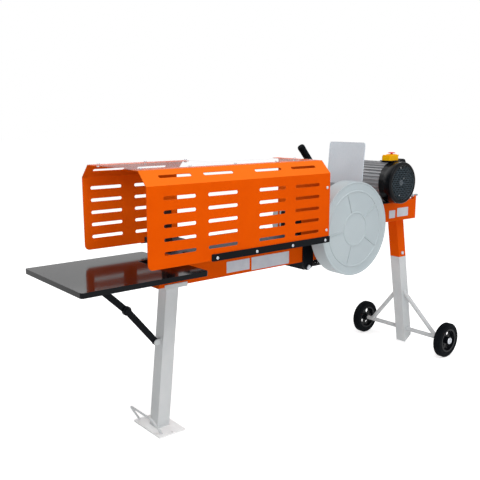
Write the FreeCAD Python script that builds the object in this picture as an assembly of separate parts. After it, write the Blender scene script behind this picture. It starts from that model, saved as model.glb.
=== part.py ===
import FreeCAD, Part
import math
import os

# Electric log splitter with a flywheel, a pinion and a rack. Millimetres and degrees.
# +X runs from the log end to the motor, +Z is up, and the origin is on the floor under the
# middle of the front foot plate. The near side, with the flywheel, is -Y.

V = FreeCAD.Vector
along_x = V(1, 0, 0)
along_y = V(0, 1, 0)
along_z = V(0, 0, 1)
os.makedirs("parts", exist_ok=True)

# Shared values
overrun = 5.0
smallest = 1e-6
fit_gap = 0.05
seat_gap = 0.3
side_gap = 1.0
sheet = 2.0

# Main beam and rack housing
beam_half_width = 54.0
beam_height = 109.0
beam_length = 817.0
beam_wall = 5.0
beam_top_z = 631.0
beam_front_x = -26.0
beam_front_slant = 60.0
beam_rear_x = beam_front_x + beam_length
beam_bottom_z = beam_top_z - beam_height
housing_overlap = 80.0
housing_length = 678.0
housing_height = 90.0
housing_wall = 4.0
housing_front_x = beam_rear_x - housing_overlap
housing_rear_x = housing_front_x + housing_length
housing_top_z = beam_top_z + housing_height

# Pinion and rack
gear_module = 3.5
pinion_teeth = 12
pressure_angle = math.radians(20.0)
tooth_backlash = 0.2
addendum_share = 1.0
dedendum_share = 1.25
undercut_share = 0.85
tooth_pitch = math.pi * gear_module
pitch_radius = pinion_teeth * gear_module / 2
pinion_ahead_of_beam = 40.0
pinion_above_beam = 22.0
pinion_half_width = 17.0
pinion_x = beam_rear_x + pinion_ahead_of_beam
pinion_z = beam_top_z + pinion_above_beam
rack_lift = 7.5
rack_half_width = 15.0
rack_back_height = 15.1
rack_teeth_ahead = 12
rack_teeth_behind = 48
rack_pitch_z = pinion_z + pitch_radius + rack_lift
rack_tip_z = rack_pitch_z - addendum_share * gear_module
rack_root_z = rack_pitch_z + dedendum_share * gear_module
rack_top_z = rack_root_z + rack_back_height
rack_pin_radius = 6.0
rack_guide_length = 40.0
rack_guide_height = 60.0
rack_guide_gap = 0.5
rack_guide_ahead = 8.0
rack_guide_behind = 112.0
pinion_window_half = 35.0
pinion_window_half_width = 25.0
roller_window_behind = 85.0
roller_window_half_width = 30.0

# Ram carriage
carriage_length = 55.0
carriage_rear_gap = 3.0
carriage_slide_gap = 0.4
carriage_side = 7.0
carriage_side_top = 14.0
carriage_side_drop = 36.0
carriage_bolt_radius = 6.0
carriage_bolt_head = 10.0
carriage_bolt_head_height = 6.0
carriage_bolt_above_end = 12.0
slide_block_length = 35.0
slide_block_height = 33.6
pusher_thickness = 12.0
pusher_half_width = 60.0
pusher_lift = 5.0
pusher_height = 82.0
pusher_corner = 6.0
clevis_thickness = 8.0
clevis_length = 40.0
clevis_top_above_rack = 11.0
clevis_pin_back = 19.0
carriage_rear_x = housing_front_x - carriage_rear_gap
carriage_front_x = carriage_rear_x - carriage_length
carriage_mid_x = (carriage_front_x + carriage_rear_x) / 2
pusher_front_x = carriage_front_x - pusher_thickness
carriage_inner = beam_half_width + carriage_slide_gap
carriage_outer = carriage_inner + carriage_side
carriage_end_z = beam_bottom_z - carriage_side_drop
carriage_bolt_z = carriage_end_z + carriage_bolt_above_end

# Return spring
spring_wire_radius = 3.0
spring_mean_radius = 13.0
spring_turns = 28
spring_turn_steps = 16
spring_lead_side = 4.0
spring_lead_run = 9.0
spring_seat_radius = 20.0
spring_seat_thickness = 5.0
spring_hook_radius = 5.0
spring_hook_length = 7.0
spring_below_beam = 28.0
spring_anchor_thickness = 8.0
spring_anchor_half_width = 22.0
spring_anchor_behind_pinion = 229.0
spring_z = beam_bottom_z - spring_below_beam
spring_anchor_x = pinion_x + spring_anchor_behind_pinion

# Splitting wedge
wedge_front_x = beam_front_x + beam_front_slant
wedge_edge_lead = 29.0
wedge_edge_x = wedge_front_x + wedge_edge_lead
wedge_height = 164.0
wedge_half_width = 15.0
wedge_heel_length = 27.0
wedge_heel_height = 59.0
wedge_edge_half = 0.6
wedge_taper_share = 0.45

# Guards
guard_front_x = -158.0
guard_length = 795.0
far_guard_length = 392.0
guard_outer = 211.0
guard_fold_z = 888.5
guard_top_z = 934.0
guard_bevel_run = 45.0
guard_flange = 40.0
guard_corner = 18.0
guard_bottom_z = beam_top_z
guard_inner = guard_outer - sheet
guard_rear_x = guard_front_x + guard_length
bevel_top = guard_outer - guard_bevel_run
bevel_angle = math.degrees(math.atan2(guard_top_z - guard_fold_z, guard_bevel_run))
slot_length = 122.0
slot_height = 11.5
slot_first_row_z = 849.5
slot_row_step = 43.2
slot_rows = 5
slot_bevel_z = 914.0
near_slot_lead = 60.0
near_slot_first_x = guard_front_x + near_slot_lead
near_slot_pair_step = 170.0
near_slot_group_step = 387.0
far_slot_lead = 30.0
far_slot_first_x = guard_front_x + far_slot_lead
far_slot_step = 175.0

# Rear guard wall
wall_far_y = 73.0
wall_flange = 30.0
door_half_width = 64.0
door_above_pusher = 4.0
wall_flange_top = 20.0

# Clear top sheet
clear_thickness = 3.0
clear_short = 16.0
clear_near_length = guard_length - clear_short
clear_edge = 1.0

# Log trays, brackets and rails
tray_thickness = 4.0
tray_front_x = 85.0
tray_inner = 63.0
tray_tongue_inner = 40.0
tray_tongue_length = 18.0
tray_flange_height = 21.0
tray_rear_gap = 1.3
far_tray_outer = 155.0
rail_height = 24.0
rail_thickness = 3.0
rail_drop = 3.0
rail_lead = 2.0
far_rail_lead = 16.0
rail_corner = 4.0
rail_screw_above = 7.5
rail_screw_shares = (0.3308, 0.5459, 0.7597, 0.9711)
rail_screw_x = [guard_front_x + share * guard_length for share in rail_screw_shares]
far_rail_screw_shares = (0.6199, 0.9388)
far_rail_screw_x = [guard_front_x + share * far_guard_length for share in far_rail_screw_shares]
arm_thickness = 6.0
arm_height = 41.0
arm_front_x = 531.0
arm_rear_x = 776.0
arm_block_length = 50.0
arm_side_gap = 1.0

# Screws
screw_radius = 3.0
screw_head_radius = 5.5
screw_head_height = 3.2
nut_radius = 5.0
nut_height = 4.0
wall_screw_back = 15.0
wall_screw_z = (836.0, 676.0)
clear_screw_y = 138.0
clear_screw_shares = (0.0327, 0.2654, 0.5031, 0.7396)
clear_screw_x = [guard_front_x + share * guard_length for share in clear_screw_shares]
far_clear_screw_shares = (0.0663, 0.5383, 0.9796)
far_clear_screw_x = [guard_front_x + share * far_guard_length for share in far_clear_screw_shares]
wall_top_screw_y = -48.0

# Front leg and foot
leg_size = 50.0
leg_wall = 3.0
leg_top_x = 52.0
leg_foot_x = 1.0
saddle_front = 52.0
saddle_length = 92.0
saddle_base = 6.0
saddle_side = 4.0
saddle_lip = 9.0
foot_length = 108.0
foot_half_width = 88.0
foot_thickness = 6.0
foot_corner = 4.0
foot_hole_radius = 5.0
foot_hole_y = 79.0
step_radius = 4.0
step_base_x = -34.0
step_top_x = -71.0
step_top_z = 68.0
step_near_y = -68.0
step_far_y = 80.0
step_bend = 14.0

# Table, its hinge and its stay
table_front_x = -379.0
table_rear_x = 73.0
table_half_width = 208.0
table_top_z = 598.4
table_depth = 16.8
table_sheet = 3.0
table_corner = 10.0
notch_half_width = 66.0
notch_gap = 4.0
hinge_ahead = 9.0
hinge_z = 572.0
hinge_pin_radius = 5.0
hinge_boss_radius = 9.0
hinge_ear_inner = 30.0
hinge_ear_thickness = 6.0
hinge_plate_thickness = 5.0
hinge_plate_height = 44.0
hinge_plate_top = 8.0
hinge_pin_overhang = 3.0
stay_lower_x = -7.0
stay_lower_z = 317.0
stay_knee_x = -118.0
stay_knee_z = 451.0
stay_upper_x = -238.3
stay_upper_z = 566.0
stay_half_width = 11.5
stay_knee_radius = 16.0
stay_thickness = 5.0
stay_pin_radius = 4.0
stay_lug_thickness = 4.0
stay_lug_radius = 11.0
stay_lug_tall = 26.0
stay_pin_head = 9.0
stay_pin_head_height = 4.0

# Rear leg, axle and wheels
rear_leg_ahead = 77.0
rear_leg_top_x = housing_rear_x - rear_leg_ahead
rear_leg_lean = math.radians(10.0)
rear_leg_joint_z = 448.0
rear_leg_end_z = 15.0
rear_leg_end_rise = 33.0
spigot_gap = 0.3
spigot_length = 112.0
leg_bolt_radius = 5.0
leg_bolt_head = 8.5
leg_bolt_head_height = 5.0
leg_bolt_above_joint = 18.0
axle_radius = 10.0
stub_radius = 8.0
stub_past_hub = 3.0
brace_radius = 10.0
brace_top_z = 280.0
brace_foot_y = 190.0
wheel_radius = 80.0
wheel_y = 239.5
tyre_half_width = 17.0
tyre_inner = 54.0
tyre_round = 9.0
tyre_shoulder_share = 0.3
hub_half_width = 20.0
hub_boss_radius = 17.0
hub_web = 6.0
hub_rim = 7.0
hub_hole_radius = 10.0
hub_holes = 5
cap_radius = 15.0
cap_thickness = 5.0
axle_z = wheel_radius
axle_half_length = wheel_y - hub_half_width - fit_gap
stub_end = wheel_y + hub_half_width + stub_past_hub

# Flywheel, its drum cover and the shaft
shaft_radius = 15.0
shaft_near_end = 160.0
shaft_far_end = 197.0
bearing_half_length = 50.0
bearing_round = 30.0
bearing_thickness = 16.0
bearing_boss = 24.0
flywheel_near = 160.0
flywheel_far = 118.0
flywheel_web = 18.0
flywheel_hub = 40.0
flywheel_hub_inset = 3.0
drum_radius = 189.0
flywheel_in_drum = 24.0
flywheel_rim = 40.0
flywheel_radius = drum_radius - flywheel_in_drum
flywheel_rim_inner = flywheel_radius - flywheel_rim
drum_face = 172.0
drum_back = 108.0
drum_hole = 40.0
drum_bead = 9.0
drum_bead_height = 2.5
drum_outer_ring_share = 0.80
drum_inner_ring_share = 0.35
drum_ring_width = 4.0
drum_rib_half_width = 2.0
drum_rib_angles = (37.0, 109.0, 185.0, 253.0, 327.0)
standoff_radius = 8.0
standoff_side = 75.0
standoff_side_above = 23.0
standoff_top_above = 55.0

# Belt drive and its guard
belt_y = 178.0
belt_half_width = 6.5
belt_thickness = 8.0
belt_taper_share = 0.6
pulley_half_width = 11.0
pulley_web = 5.0
pulley_hub = 26.0
flywheel_pulley_radius = 95.0
motor_pulley_radius = 40.0
groove_depth = 9.0
belt_guard_radius = 108.0
belt_guard_small_radius = 53.0
belt_guard_near = 150.0
belt_guard_far = 205.0
belt_guard_hole = 24.0

# Motor
motor_x = 1159.0
motor_z = 815.0
motor_core_radius = 80.0
motor_fin_radius = 88.0
motor_fin_thickness = 2.4
motor_fins = 36
motor_bore = 50.0
motor_near = 88.0
motor_far = 100.0
motor_end_wall = 8.0
bell_depth = 20.0
bell_nose_radius = 45.0
bell_nose = 6.0
fan_cover_radius = 90.0
fan_cover_end = 150.0
fan_cover_round = 8.0
fan_slot_rings = 3
fan_slot_arcs = 4
fan_slot_width = 5.0
fan_slot_inner = 30.0
fan_slot_step = 17.0
fan_slot_sweep = 76.0
fan_radius = 74.0
fan_hub_radius = 24.0
fan_near = 140.0
fan_far = 98.0
fan_blades = 7
fan_blade_thickness = 3.0
motor_shaft_radius = 12.0
rotor_radius = 46.0
rotor_inset = 22.0
motor_foot_offset = 62.0
motor_foot_half = 13.0
motor_foot_inset = 26.0
capacitor_radius = 20.0
capacitor_near = 80.0
capacitor_far = 20.0
capacitor_angle = 42.0
capacitor_lift = 8.0
capacitor_saddle_half_width = 12.0
capacitor_saddle_half_length = 15.0
base_half_length = 80.0
base_near = 84.0
base_far = 100.0
base_thickness = 4.0
base_tab_height = 31.0
tension_radius = 5.0
tension_y = -45.0
tension_above = 16.0
tension_stub = 19.0
tension_lug_thickness = 14.0
tension_lug_half_width = 9.0

# Switch
switch_x = 1163.0
switch_y = -72.0
switch_half_length = 30.0
switch_half_width = 22.5
switch_height = 18.0
switch_plate_half_length = 35.0
switch_plate_half_width = 30.0
switch_plate = 3.0
switch_neck_half_length = 25.0
switch_neck_far = 44.0
switch_neck_near = 86.0
switch_corner = 4.0
lid_height = 5.2
lid_block_height = 3.0
lid_block_half = 17.0
lid_wall = 2.0
lid_length = 56.0
lid_pivot_back = 3.5
lid_pivot_up = 3.0
lid_pin_radius = 1.5
lid_knuckle_radius = 3.2
lid_knuckle_half = 13.0
lid_ear_gap = 0.5
lid_ear = 4.0
stop_offset = 9.0
start_offset = -15.0
stop_stem_radius = 5.0
stop_head_radius = 16.0
stop_head_height = 4.7
stop_travel = 4.0
button_radius = 6.0
button_gap = 0.3
button_height = 6.5
button_stand = 1.5
button_travel = 3.0

# Lever and shield
lever_pivot_x = 888.0
lever_pivot_z = 745.0
lever_end_x = 686.0
lever_end_z = 980.0
lever_pin_radius = 8.0
lever_pin_half = 41.0
lever_boss_radius = 16.0
lever_arm_radius = 10.0
lever_cheek = 6.0
lever_cheek_radius = 9.0
lever_grip_radius = 15.0
lever_grip_length = 120.0
lever_grip_round = 6.0
roller_radius = 14.0
roller_half_width = 11.0
roller_gap = 0.6
roller_side_gap = 0.5
roller_pin_radius = 6.0
bracket_ear_thickness = 6.0
bracket_ear_length = 44.0
bracket_foot = 15.0
shield_x = 939.0
shield_height = 270.0
shield_half_width = 99.0
shield_neck_half_width = 50.0
shield_neck_height = 94.0
shield_lean = 5.0
shield_corner = 12.0
shield_foot = 32.0
shield_sheet = 3.0


def box(x0, x1, y0, y1, z0, z1):
    return Part.makeBox(x1 - x0, y1 - y0, z1 - z0, V(x0, y0, z0))


def rod(radius, start, end):
    way = end - start
    return Part.makeCylinder(radius, way.Length, start, way)


def ring(outer, inner, start, end):
    return rod(outer, start, end).cut(rod(inner, start, end))


def across(radius, x, z, y0, y1):
    return rod(radius, V(x, y0, z), V(x, y1, z))


def rounded_wire(points, radii):
    """Closed outline through the points, with a tangent arc at each point that has a radius."""
    count = len(points)
    starts, ends, edges = [], [], []
    for i in range(count):
        here, before, after = points[i], points[i - 1], points[(i + 1) % count]
        radius = radii[i] if isinstance(radii, (list, tuple)) else radii
        to_before = (before - here).normalize()
        to_after = (after - here).normalize()
        if radius == 0:
            starts.append(here)
            ends.append(here)
            continue
        half = to_before.getAngle(to_after) / 2
        reach = radius / math.tan(half)
        first = here + to_before * reach
        last = here + to_after * reach
        middle_way = (to_before + to_after).normalize()
        middle = here + middle_way * (radius / math.sin(half) - radius)
        edges.append((i, Part.Arc(first, middle, last).toShape()))
        starts.append(first)
        ends.append(last)
    arcs = dict(edges)
    chain = []
    for i in range(count):
        if i in arcs:
            chain.append(arcs[i])
        following = starts[(i + 1) % count]
        if (following - ends[i]).Length > smallest:
            chain.append(Part.makeLine(ends[i], following))
    return Part.Wire(chain)


def slab(points, way, radii=0):
    return Part.Face(rounded_wire(points, radii)).extrude(way)


def slab_y(points, y0, y1, radii=0):
    return slab([V(x, y0, z) for x, z in points], V(0, y1 - y0, 0), radii)


def slab_x(points, x0, x1, radii=0):
    return slab([V(x0, y, z) for y, z in points], V(x1 - x0, 0, 0), radii)


def slab_z(points, z0, z1, radii=0):
    return slab([V(x, y, z0) for x, y in points], V(0, 0, z1 - z0), radii)


def rectangle(a0, a1, b0, b1):
    return [(a0, b0), (a1, b0), (a1, b1), (a0, b1)]


def turned(profile, x, z):
    """Solid of revolution about the line along Y through x, z, from points (radius, y)."""
    points = [V(x + radius, y, z) for radius, y in profile]
    face = Part.Face(Part.makePolygon(points + [points[0]]))
    return face.revolve(V(x, 0, z), along_y, 360)


def joined(first, *others):
    return first.fuse(list(others)).removeSplitter()


def mirrored(shape):
    return shape.mirror(V(0, 0, 0), along_y)


def save(name, *shapes):
    solids = []
    for shape in shapes:
        solids.extend(shape.Solids)
    result = solids[0] if len(solids) == 1 else Part.makeCompound(solids)
    result.exportStep("parts/" + name + ".step")


def offset_line(points, distance):
    """The open line of (a, b) points moved sideways by the distance, with mitred corners."""
    moved = []
    for i, (a, b) in enumerate(points):
        normals = []
        for j in (i - 1, i):
            if 0 <= j < len(points) - 1:
                da = points[j + 1][0] - points[j][0]
                db = points[j + 1][1] - points[j][1]
                length = math.hypot(da, db)
                normals.append((-db / length, da / length))
        na = sum(n[0] for n in normals) / len(normals)
        nb = sum(n[1] for n in normals) / len(normals)
        size = na * na + nb * nb
        moved.append((a + distance * na / size, b + distance * nb / size))
    return moved


def folded(points, thickness):
    return points + offset_line(points, thickness)[::-1]


def tangent_outline(x0, z0, r0, x1, z1, r1, y):
    """Closed outline of a belt round two circles, in the plane at y."""
    span = math.hypot(x1 - x0, z1 - z0)
    slope = math.atan2(z1 - z0, x1 - x0)
    spread = math.acos((r0 - r1) / span)

    def on_circle(x, z, radius, angle):
        return V(x + radius * math.cos(angle), y, z + radius * math.sin(angle))
    top0 = on_circle(x0, z0, r0, slope + spread)
    top1 = on_circle(x1, z1, r1, slope + spread)
    low0 = on_circle(x0, z0, r0, slope - spread)
    low1 = on_circle(x1, z1, r1, slope - spread)
    back0 = on_circle(x0, z0, r0, slope + math.pi)
    nose1 = on_circle(x1, z1, r1, slope)
    return Part.Wire([
        Part.makeLine(top0, top1),
        Part.Arc(top1, nose1, low1).toShape(),
        Part.makeLine(low1, low0),
        Part.Arc(low0, back0, top0).toShape()])


def tangent_slab(x0, z0, r0, x1, z1, r1, y0, y1):
    face = Part.Face(tangent_outline(x0, z0, r0, x1, z1, r1, y0))
    return face.extrude(V(0, y1 - y0, 0))


def slot_cutter(x_start, length, height, y, z, tilt):
    """Round-ended slot along X. Tilt 90 cuts a sheet that faces Y, and 0 one that faces Z."""
    half = height / 2
    depth = overrun
    shape = slab_z(rectangle(0, length, -half, half), -depth, depth, half)
    shape.rotate(V(0, 0, 0), along_x, tilt)
    shape.translate(V(x_start, y, z))
    return shape


def screw(head_seat, way, shank_length, nut_at=None):
    way = V(way).normalize()
    head = Part.makeCylinder(screw_head_radius, screw_head_height, head_seat, way * -1)
    crown = head.Edges[0] if head.Edges[0].Curve.Center.distanceToPoint(head_seat) > fit_gap \
        else head.Edges[2]
    head = head.makeChamfer(screw_head_height / 2, [crown])
    shank = Part.makeCylinder(screw_radius, shank_length, head_seat, way)
    parts = [head, shank]
    if nut_at is not None:
        parts.append(Part.makeCylinder(nut_radius, nut_height, head_seat + way * nut_at, way))
    return joined(*parts)


def screw_hole(head_seat, way):
    way = V(way).normalize()
    start = head_seat - way * overrun
    return rod(screw_radius + fit_gap, start, head_seat + way * (overrun + overrun))


# Main beam: a closed square tube, cut on a slant in front
def beam_front(z):
    return beam_front_x + beam_front_slant * (z - beam_bottom_z) / beam_height


def beam_side(wall):
    low, high = beam_bottom_z + wall, beam_top_z - wall
    front = wall * math.hypot(beam_front_slant, beam_height) / beam_height
    return [(beam_front(low) + front, low), (beam_rear_x - wall, low), (beam_rear_x - wall, high),
            (beam_front(high) + front, high)]


def make_main_beam():
    outside = slab_y(beam_side(0), -beam_half_width, beam_half_width)
    inner = beam_half_width - beam_wall
    save("main_beam", outside.cut(slab_y(beam_side(beam_wall), -inner, inner)))


# Rack housing: a box tube on the rear of the beam, with windows for pinion and roller
def make_rack_housing():
    w = beam_half_width
    outside = box(housing_front_x, housing_rear_x, -w, w, beam_top_z, housing_top_z)
    inside = box(housing_front_x - overrun, housing_rear_x - housing_wall,
                 -w + housing_wall, w - housing_wall,
                 beam_top_z + housing_wall, housing_top_z - housing_wall)
    floor_window = box(pinion_x - pinion_window_half, pinion_x + pinion_window_half,
                       -pinion_window_half_width, pinion_window_half_width,
                       beam_top_z - overrun, beam_top_z + housing_wall + overrun)
    top_window = box(pinion_x - pinion_window_half, pinion_x + roller_window_behind,
                     -roller_window_half_width, roller_window_half_width,
                     housing_top_z - housing_wall - overrun, housing_top_z + overrun)
    shaft_hole = across(shaft_radius + side_gap + side_gap, pinion_x, pinion_z,
                        -w - overrun, w + overrun)
    lug = box(housing_rear_x - tension_lug_thickness, housing_rear_x,
              tension_y - tension_lug_half_width, tension_y + tension_lug_half_width,
              housing_top_z, housing_top_z + tension_above)
    tension_hole = rod(tension_radius + fit_gap,
                       V(housing_rear_x - tension_lug_thickness - overrun, tension_y, tension_z),
                       V(housing_rear_x + overrun, tension_y, tension_z))
    anchor = box(spring_anchor_x, spring_anchor_x + spring_anchor_thickness,
                 -spring_anchor_half_width, spring_anchor_half_width,
                 spring_z - spring_anchor_half_width, beam_top_z)
    body = outside.cut([inside, floor_window, top_window, shaft_hole])
    save("rack_housing", joined(body, lug, anchor).cut(tension_hole))


# Guides that keep the rack on the pinion
def make_rack_guides():
    inner = rack_half_width + rack_guide_gap
    outer = beam_half_width - housing_wall
    z0 = housing_top_z - housing_wall - rack_guide_height
    z1 = housing_top_z - housing_wall
    solids = []
    for start in (housing_front_x + rack_guide_ahead, pinion_x + rack_guide_behind):
        guide = box(start, start + rack_guide_length, inner, outer, z0, z1)
        solids += [guide, mirrored(guide)]
    save("rack_guides", *solids)


# Splitting wedge: a tapered blade with its edge to the rear and a heel on the beam
def make_wedge():
    z0 = beam_top_z
    z1 = beam_top_z + wedge_height
    side = [(wedge_front_x, z0), (wedge_edge_x + wedge_heel_length, z0),
            (wedge_edge_x, z0 + wedge_heel_height), (wedge_edge_x, z1), (wedge_front_x, z1)]
    blade = slab_y(side, -wedge_half_width, wedge_half_width)
    length = wedge_edge_x + wedge_heel_length - wedge_front_x
    shoulder_x = wedge_front_x + length * wedge_taper_share
    plan = [(wedge_front_x - overrun, -wedge_half_width), (shoulder_x, -wedge_half_width),
            (wedge_edge_x, -wedge_edge_half), (wedge_edge_x + wedge_heel_length, -wedge_edge_half),
            (wedge_edge_x + wedge_heel_length, wedge_edge_half), (wedge_edge_x, wedge_edge_half),
            (shoulder_x, wedge_half_width), (wedge_front_x - overrun, wedge_half_width)]
    save("splitting_wedge", blade.common(slab_z(plan, z0, z1)))


# Guard panels: one bent sheet each, with a bevel, a top flange and rows of slots
def guard_panel(length, columns, side):
    profile = [(guard_outer, guard_bottom_z), (guard_outer, guard_fold_z),
               (bevel_top, guard_top_z), (bevel_top - guard_flange, guard_top_z)]
    shape = slab_x(folded(profile, sheet), guard_front_x, guard_front_x + length)
    corner = [V(guard_front_x, guard_outer, guard_bottom_z),
              V(guard_front_x + guard_corner, guard_outer, guard_bottom_z),
              V(guard_front_x, guard_outer, guard_bottom_z + guard_corner)]
    block = slab(corner, V(0, -sheet, 0))
    block = block.cut(across(guard_corner, guard_front_x + guard_corner,
                             guard_bottom_z + guard_corner, guard_inner, guard_outer))
    cutters = [block]
    for x in columns:
        for row in range(slot_rows):
            z = slot_first_row_z - row * slot_row_step
            cutters.append(slot_cutter(x, slot_length, slot_height, guard_outer - sheet / 2, z, 90))
        y = guard_outer - guard_bevel_run * (slot_bevel_z - guard_fold_z) / (guard_top_z - guard_fold_z)
        cutters.append(slot_cutter(x, slot_length, slot_height, y, slot_bevel_z, -bevel_angle))
    shape = shape.cut(cutters)
    return shape if side > 0 else mirrored(shape)


def make_guard_panels():
    near_columns = [near_slot_first_x + group * near_slot_group_step + pair * near_slot_pair_step
                    for group in range(2) for pair in range(2)]
    far_columns = [far_slot_first_x + i * far_slot_step for i in range(2)]
    near_holes = [screw_hole(place, way) for place, way in near_panel_screws()]
    far_holes = [screw_hole(place, way) for place, way in far_panel_screws()]
    save("guard_panel_near", guard_panel(guard_length, near_columns, -1).cut(near_holes))
    save("guard_panel_far", guard_panel(far_guard_length, far_columns, 1).cut(far_holes))


# Screw places, each a point on the outer surface and the way the shank goes
def rail_screw_places():
    z = guard_bottom_z + rail_screw_above
    outer = guard_outer + rail_thickness
    near = [(V(x, -outer, z), along_y) for x in rail_screw_x]
    far = [(V(x, outer, z), along_y * -1) for x in far_rail_screw_x]
    return near, far


def wall_side_screws():
    x = guard_rear_x - wall_screw_back
    return [(V(x, -guard_outer, z), along_y) for z in wall_screw_z]


def clear_sheet_screws():
    z = guard_top_z + clear_thickness
    near = [(V(x, -clear_screw_y, z), along_z * -1) for x in clear_screw_x]
    far = [(V(x, clear_screw_y, z), along_z * -1) for x in far_clear_screw_x]
    return near, far


def near_panel_screws():
    return rail_screw_places()[0] + wall_side_screws() + clear_sheet_screws()[0]


def far_panel_screws():
    return rail_screw_places()[1] + clear_sheet_screws()[1]


def make_screws():
    near_rail, far_rail = rail_screw_places()
    near_clear, far_clear = clear_sheet_screws()
    through_rail = rail_thickness + sheet + tray_thickness
    through_wall = sheet + seat_gap + sheet
    through_clear = clear_thickness + sheet
    solids = [screw(place, way, through_rail) for place, way in near_rail + far_rail]
    solids += [screw(place, way, through_wall + nut_height, through_wall)
              for place, way in wall_side_screws()]
    solids += [screw(place, way, through_clear + nut_height, through_clear)
               for place, way in near_clear + far_clear + wall_top_screws()]
    save("guard_screws", *solids)


def wall_top_screws():
    z = guard_top_z + clear_thickness
    return [(V(guard_rear_x - wall_flange, wall_top_screw_y, z), along_z * -1)]


# Rear guard wall with the door that the pusher passes
def make_rear_wall():
    x0 = guard_rear_x - sheet
    low = beam_top_z + tray_thickness + seat_gap
    inner = guard_inner - seat_gap
    fold = guard_fold_z - side_gap
    under_flange = guard_top_z - sheet - seat_gap
    edge_top = bevel_top - side_gap
    flange_end = bevel_top - guard_flange - side_gap
    past_flange = tray_flange_height + guard_bottom_z + seat_gap
    tray_side = guard_inner - tray_thickness - seat_gap
    outline = [(wall_far_y, low), (wall_far_y, guard_top_z), (-flange_end, guard_top_z),
               (-flange_end, under_flange), (-edge_top, under_flange), (-inner, fold),
               (-inner, past_flange), (-tray_side, past_flange), (-tray_side, low)]
    wall = slab_x(outline, x0, guard_rear_x)
    door_top = beam_top_z + pusher_lift + pusher_height + door_above_pusher
    door = box(x0 - overrun, guard_rear_x + overrun, -door_half_width, door_half_width,
               low - overrun, door_top)
    side = box(x0 - wall_flange, x0, -inner, -inner + sheet, past_flange, fold - wall_flange_top)
    top = box(x0 - wall_flange, x0, -flange_end, wall_far_y, guard_top_z - sheet, guard_top_z)
    holes = [screw_hole(place, way) for place, way in wall_side_screws() + wall_top_screws()]
    save("rear_guard_wall", joined(wall.cut(door), side, top).cut(holes))


# Clear sheet over the log chamber, full width in front and half width behind
def make_clear_sheet():
    edge = bevel_top - clear_edge
    rear = guard_front_x + clear_near_length
    step = guard_front_x + far_guard_length
    outline = [(guard_front_x, -edge), (rear, -edge), (rear, 0), (step, 0), (step, edge),
               (guard_front_x, edge)]
    near, far = clear_sheet_screws()
    holes = [screw_hole(place, way) for place, way in near + far + wall_top_screws()]
    save("clear_top_sheet", slab_z(outline, guard_top_z, guard_top_z + clear_thickness).cut(holes))


# Log trays with a tongue on the beam and an outer flange behind each rail
def make_trays():
    z0 = beam_top_z
    z1 = beam_top_z + tray_thickness
    rear = guard_rear_x - tray_rear_gap
    far_step = guard_front_x + far_guard_length
    near_holes = [screw_hole(place, way) for place, way in rail_screw_places()[0]]
    far_holes = [screw_hole(place, way) for place, way in rail_screw_places()[1]]
    tongue_end = tray_front_x + tray_tongue_length
    near = joined(box(tray_front_x, rear, -guard_inner, -tray_inner, z0, z1),
                  box(tray_front_x, tongue_end, -tray_inner, -tray_tongue_inner, z0, z1),
                  box(tray_front_x, rear, -guard_inner, -guard_inner + tray_thickness,
                      z0, z0 + tray_flange_height))
    outline = [(tray_front_x, tray_tongue_inner), (tongue_end, tray_tongue_inner),
               (tongue_end, tray_inner), (rear, tray_inner), (rear, far_tray_outer),
               (far_step, far_tray_outer), (far_step, guard_inner), (tray_front_x, guard_inner)]
    far = joined(slab_z(outline, z0, z1),
                 box(tray_front_x, far_step, guard_inner - tray_thickness, guard_inner,
                     z0, z0 + tray_flange_height))
    save("log_tray_near", near.cut(near_holes))
    save("log_tray_far", far.cut(far_holes))


# Rails clamp the panels to the tray flanges
def make_rails():
    z0 = guard_bottom_z - rail_drop
    z1 = z0 + rail_height
    near, far = rail_screw_places()
    near_rail = slab_y(rectangle(tray_front_x - rail_lead, guard_rear_x + rail_lead, z0, z1),
                       -guard_outer - rail_thickness, -guard_outer, rail_corner)
    far_rail = slab_y(rectangle(tray_front_x - far_rail_lead, guard_front_x + far_guard_length, z0, z1),
                      guard_outer, guard_outer + rail_thickness, rail_corner)
    save("guard_rails", near_rail.cut([screw_hole(p, w) for p, w in near]),
         far_rail.cut([screw_hole(p, w) for p, w in far]))


# Brackets under the trays: a flat arm on each side, with a block welded to the beam
def make_tray_brackets():
    z0, z1 = beam_top_z - arm_height, beam_top_z
    inner = tray_inner + arm_side_gap
    arm = joined(
        box(arm_front_x, arm_rear_x, inner, inner + arm_thickness, z0, z1),
        box(arm_rear_x - arm_block_length, arm_rear_x, beam_half_width, inner, z0, z1))
    save("tray_brackets", arm, mirrored(arm))


def leaning_prism(half, x_bottom, z_bottom, x_top, z_top, side_half):
    """A square bar that leans in X, cut level at both ends."""
    lean = math.atan2(x_bottom - x_top, z_top - z_bottom)
    reach = half / math.cos(lean)
    points = [(x_bottom - reach, z_bottom), (x_bottom + reach, z_bottom),
              (x_top + reach, z_top), (x_top - reach, z_top)]
    return slab_y(points, -side_half, side_half)


# Front leg: a closed square tube with a saddle round the bottom of the beam
def front_leg_x(z):
    low = foot_thickness
    high = beam_bottom_z - saddle_base
    return leg_foot_x + (leg_top_x - leg_foot_x) * (z - low) / (high - low)


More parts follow.
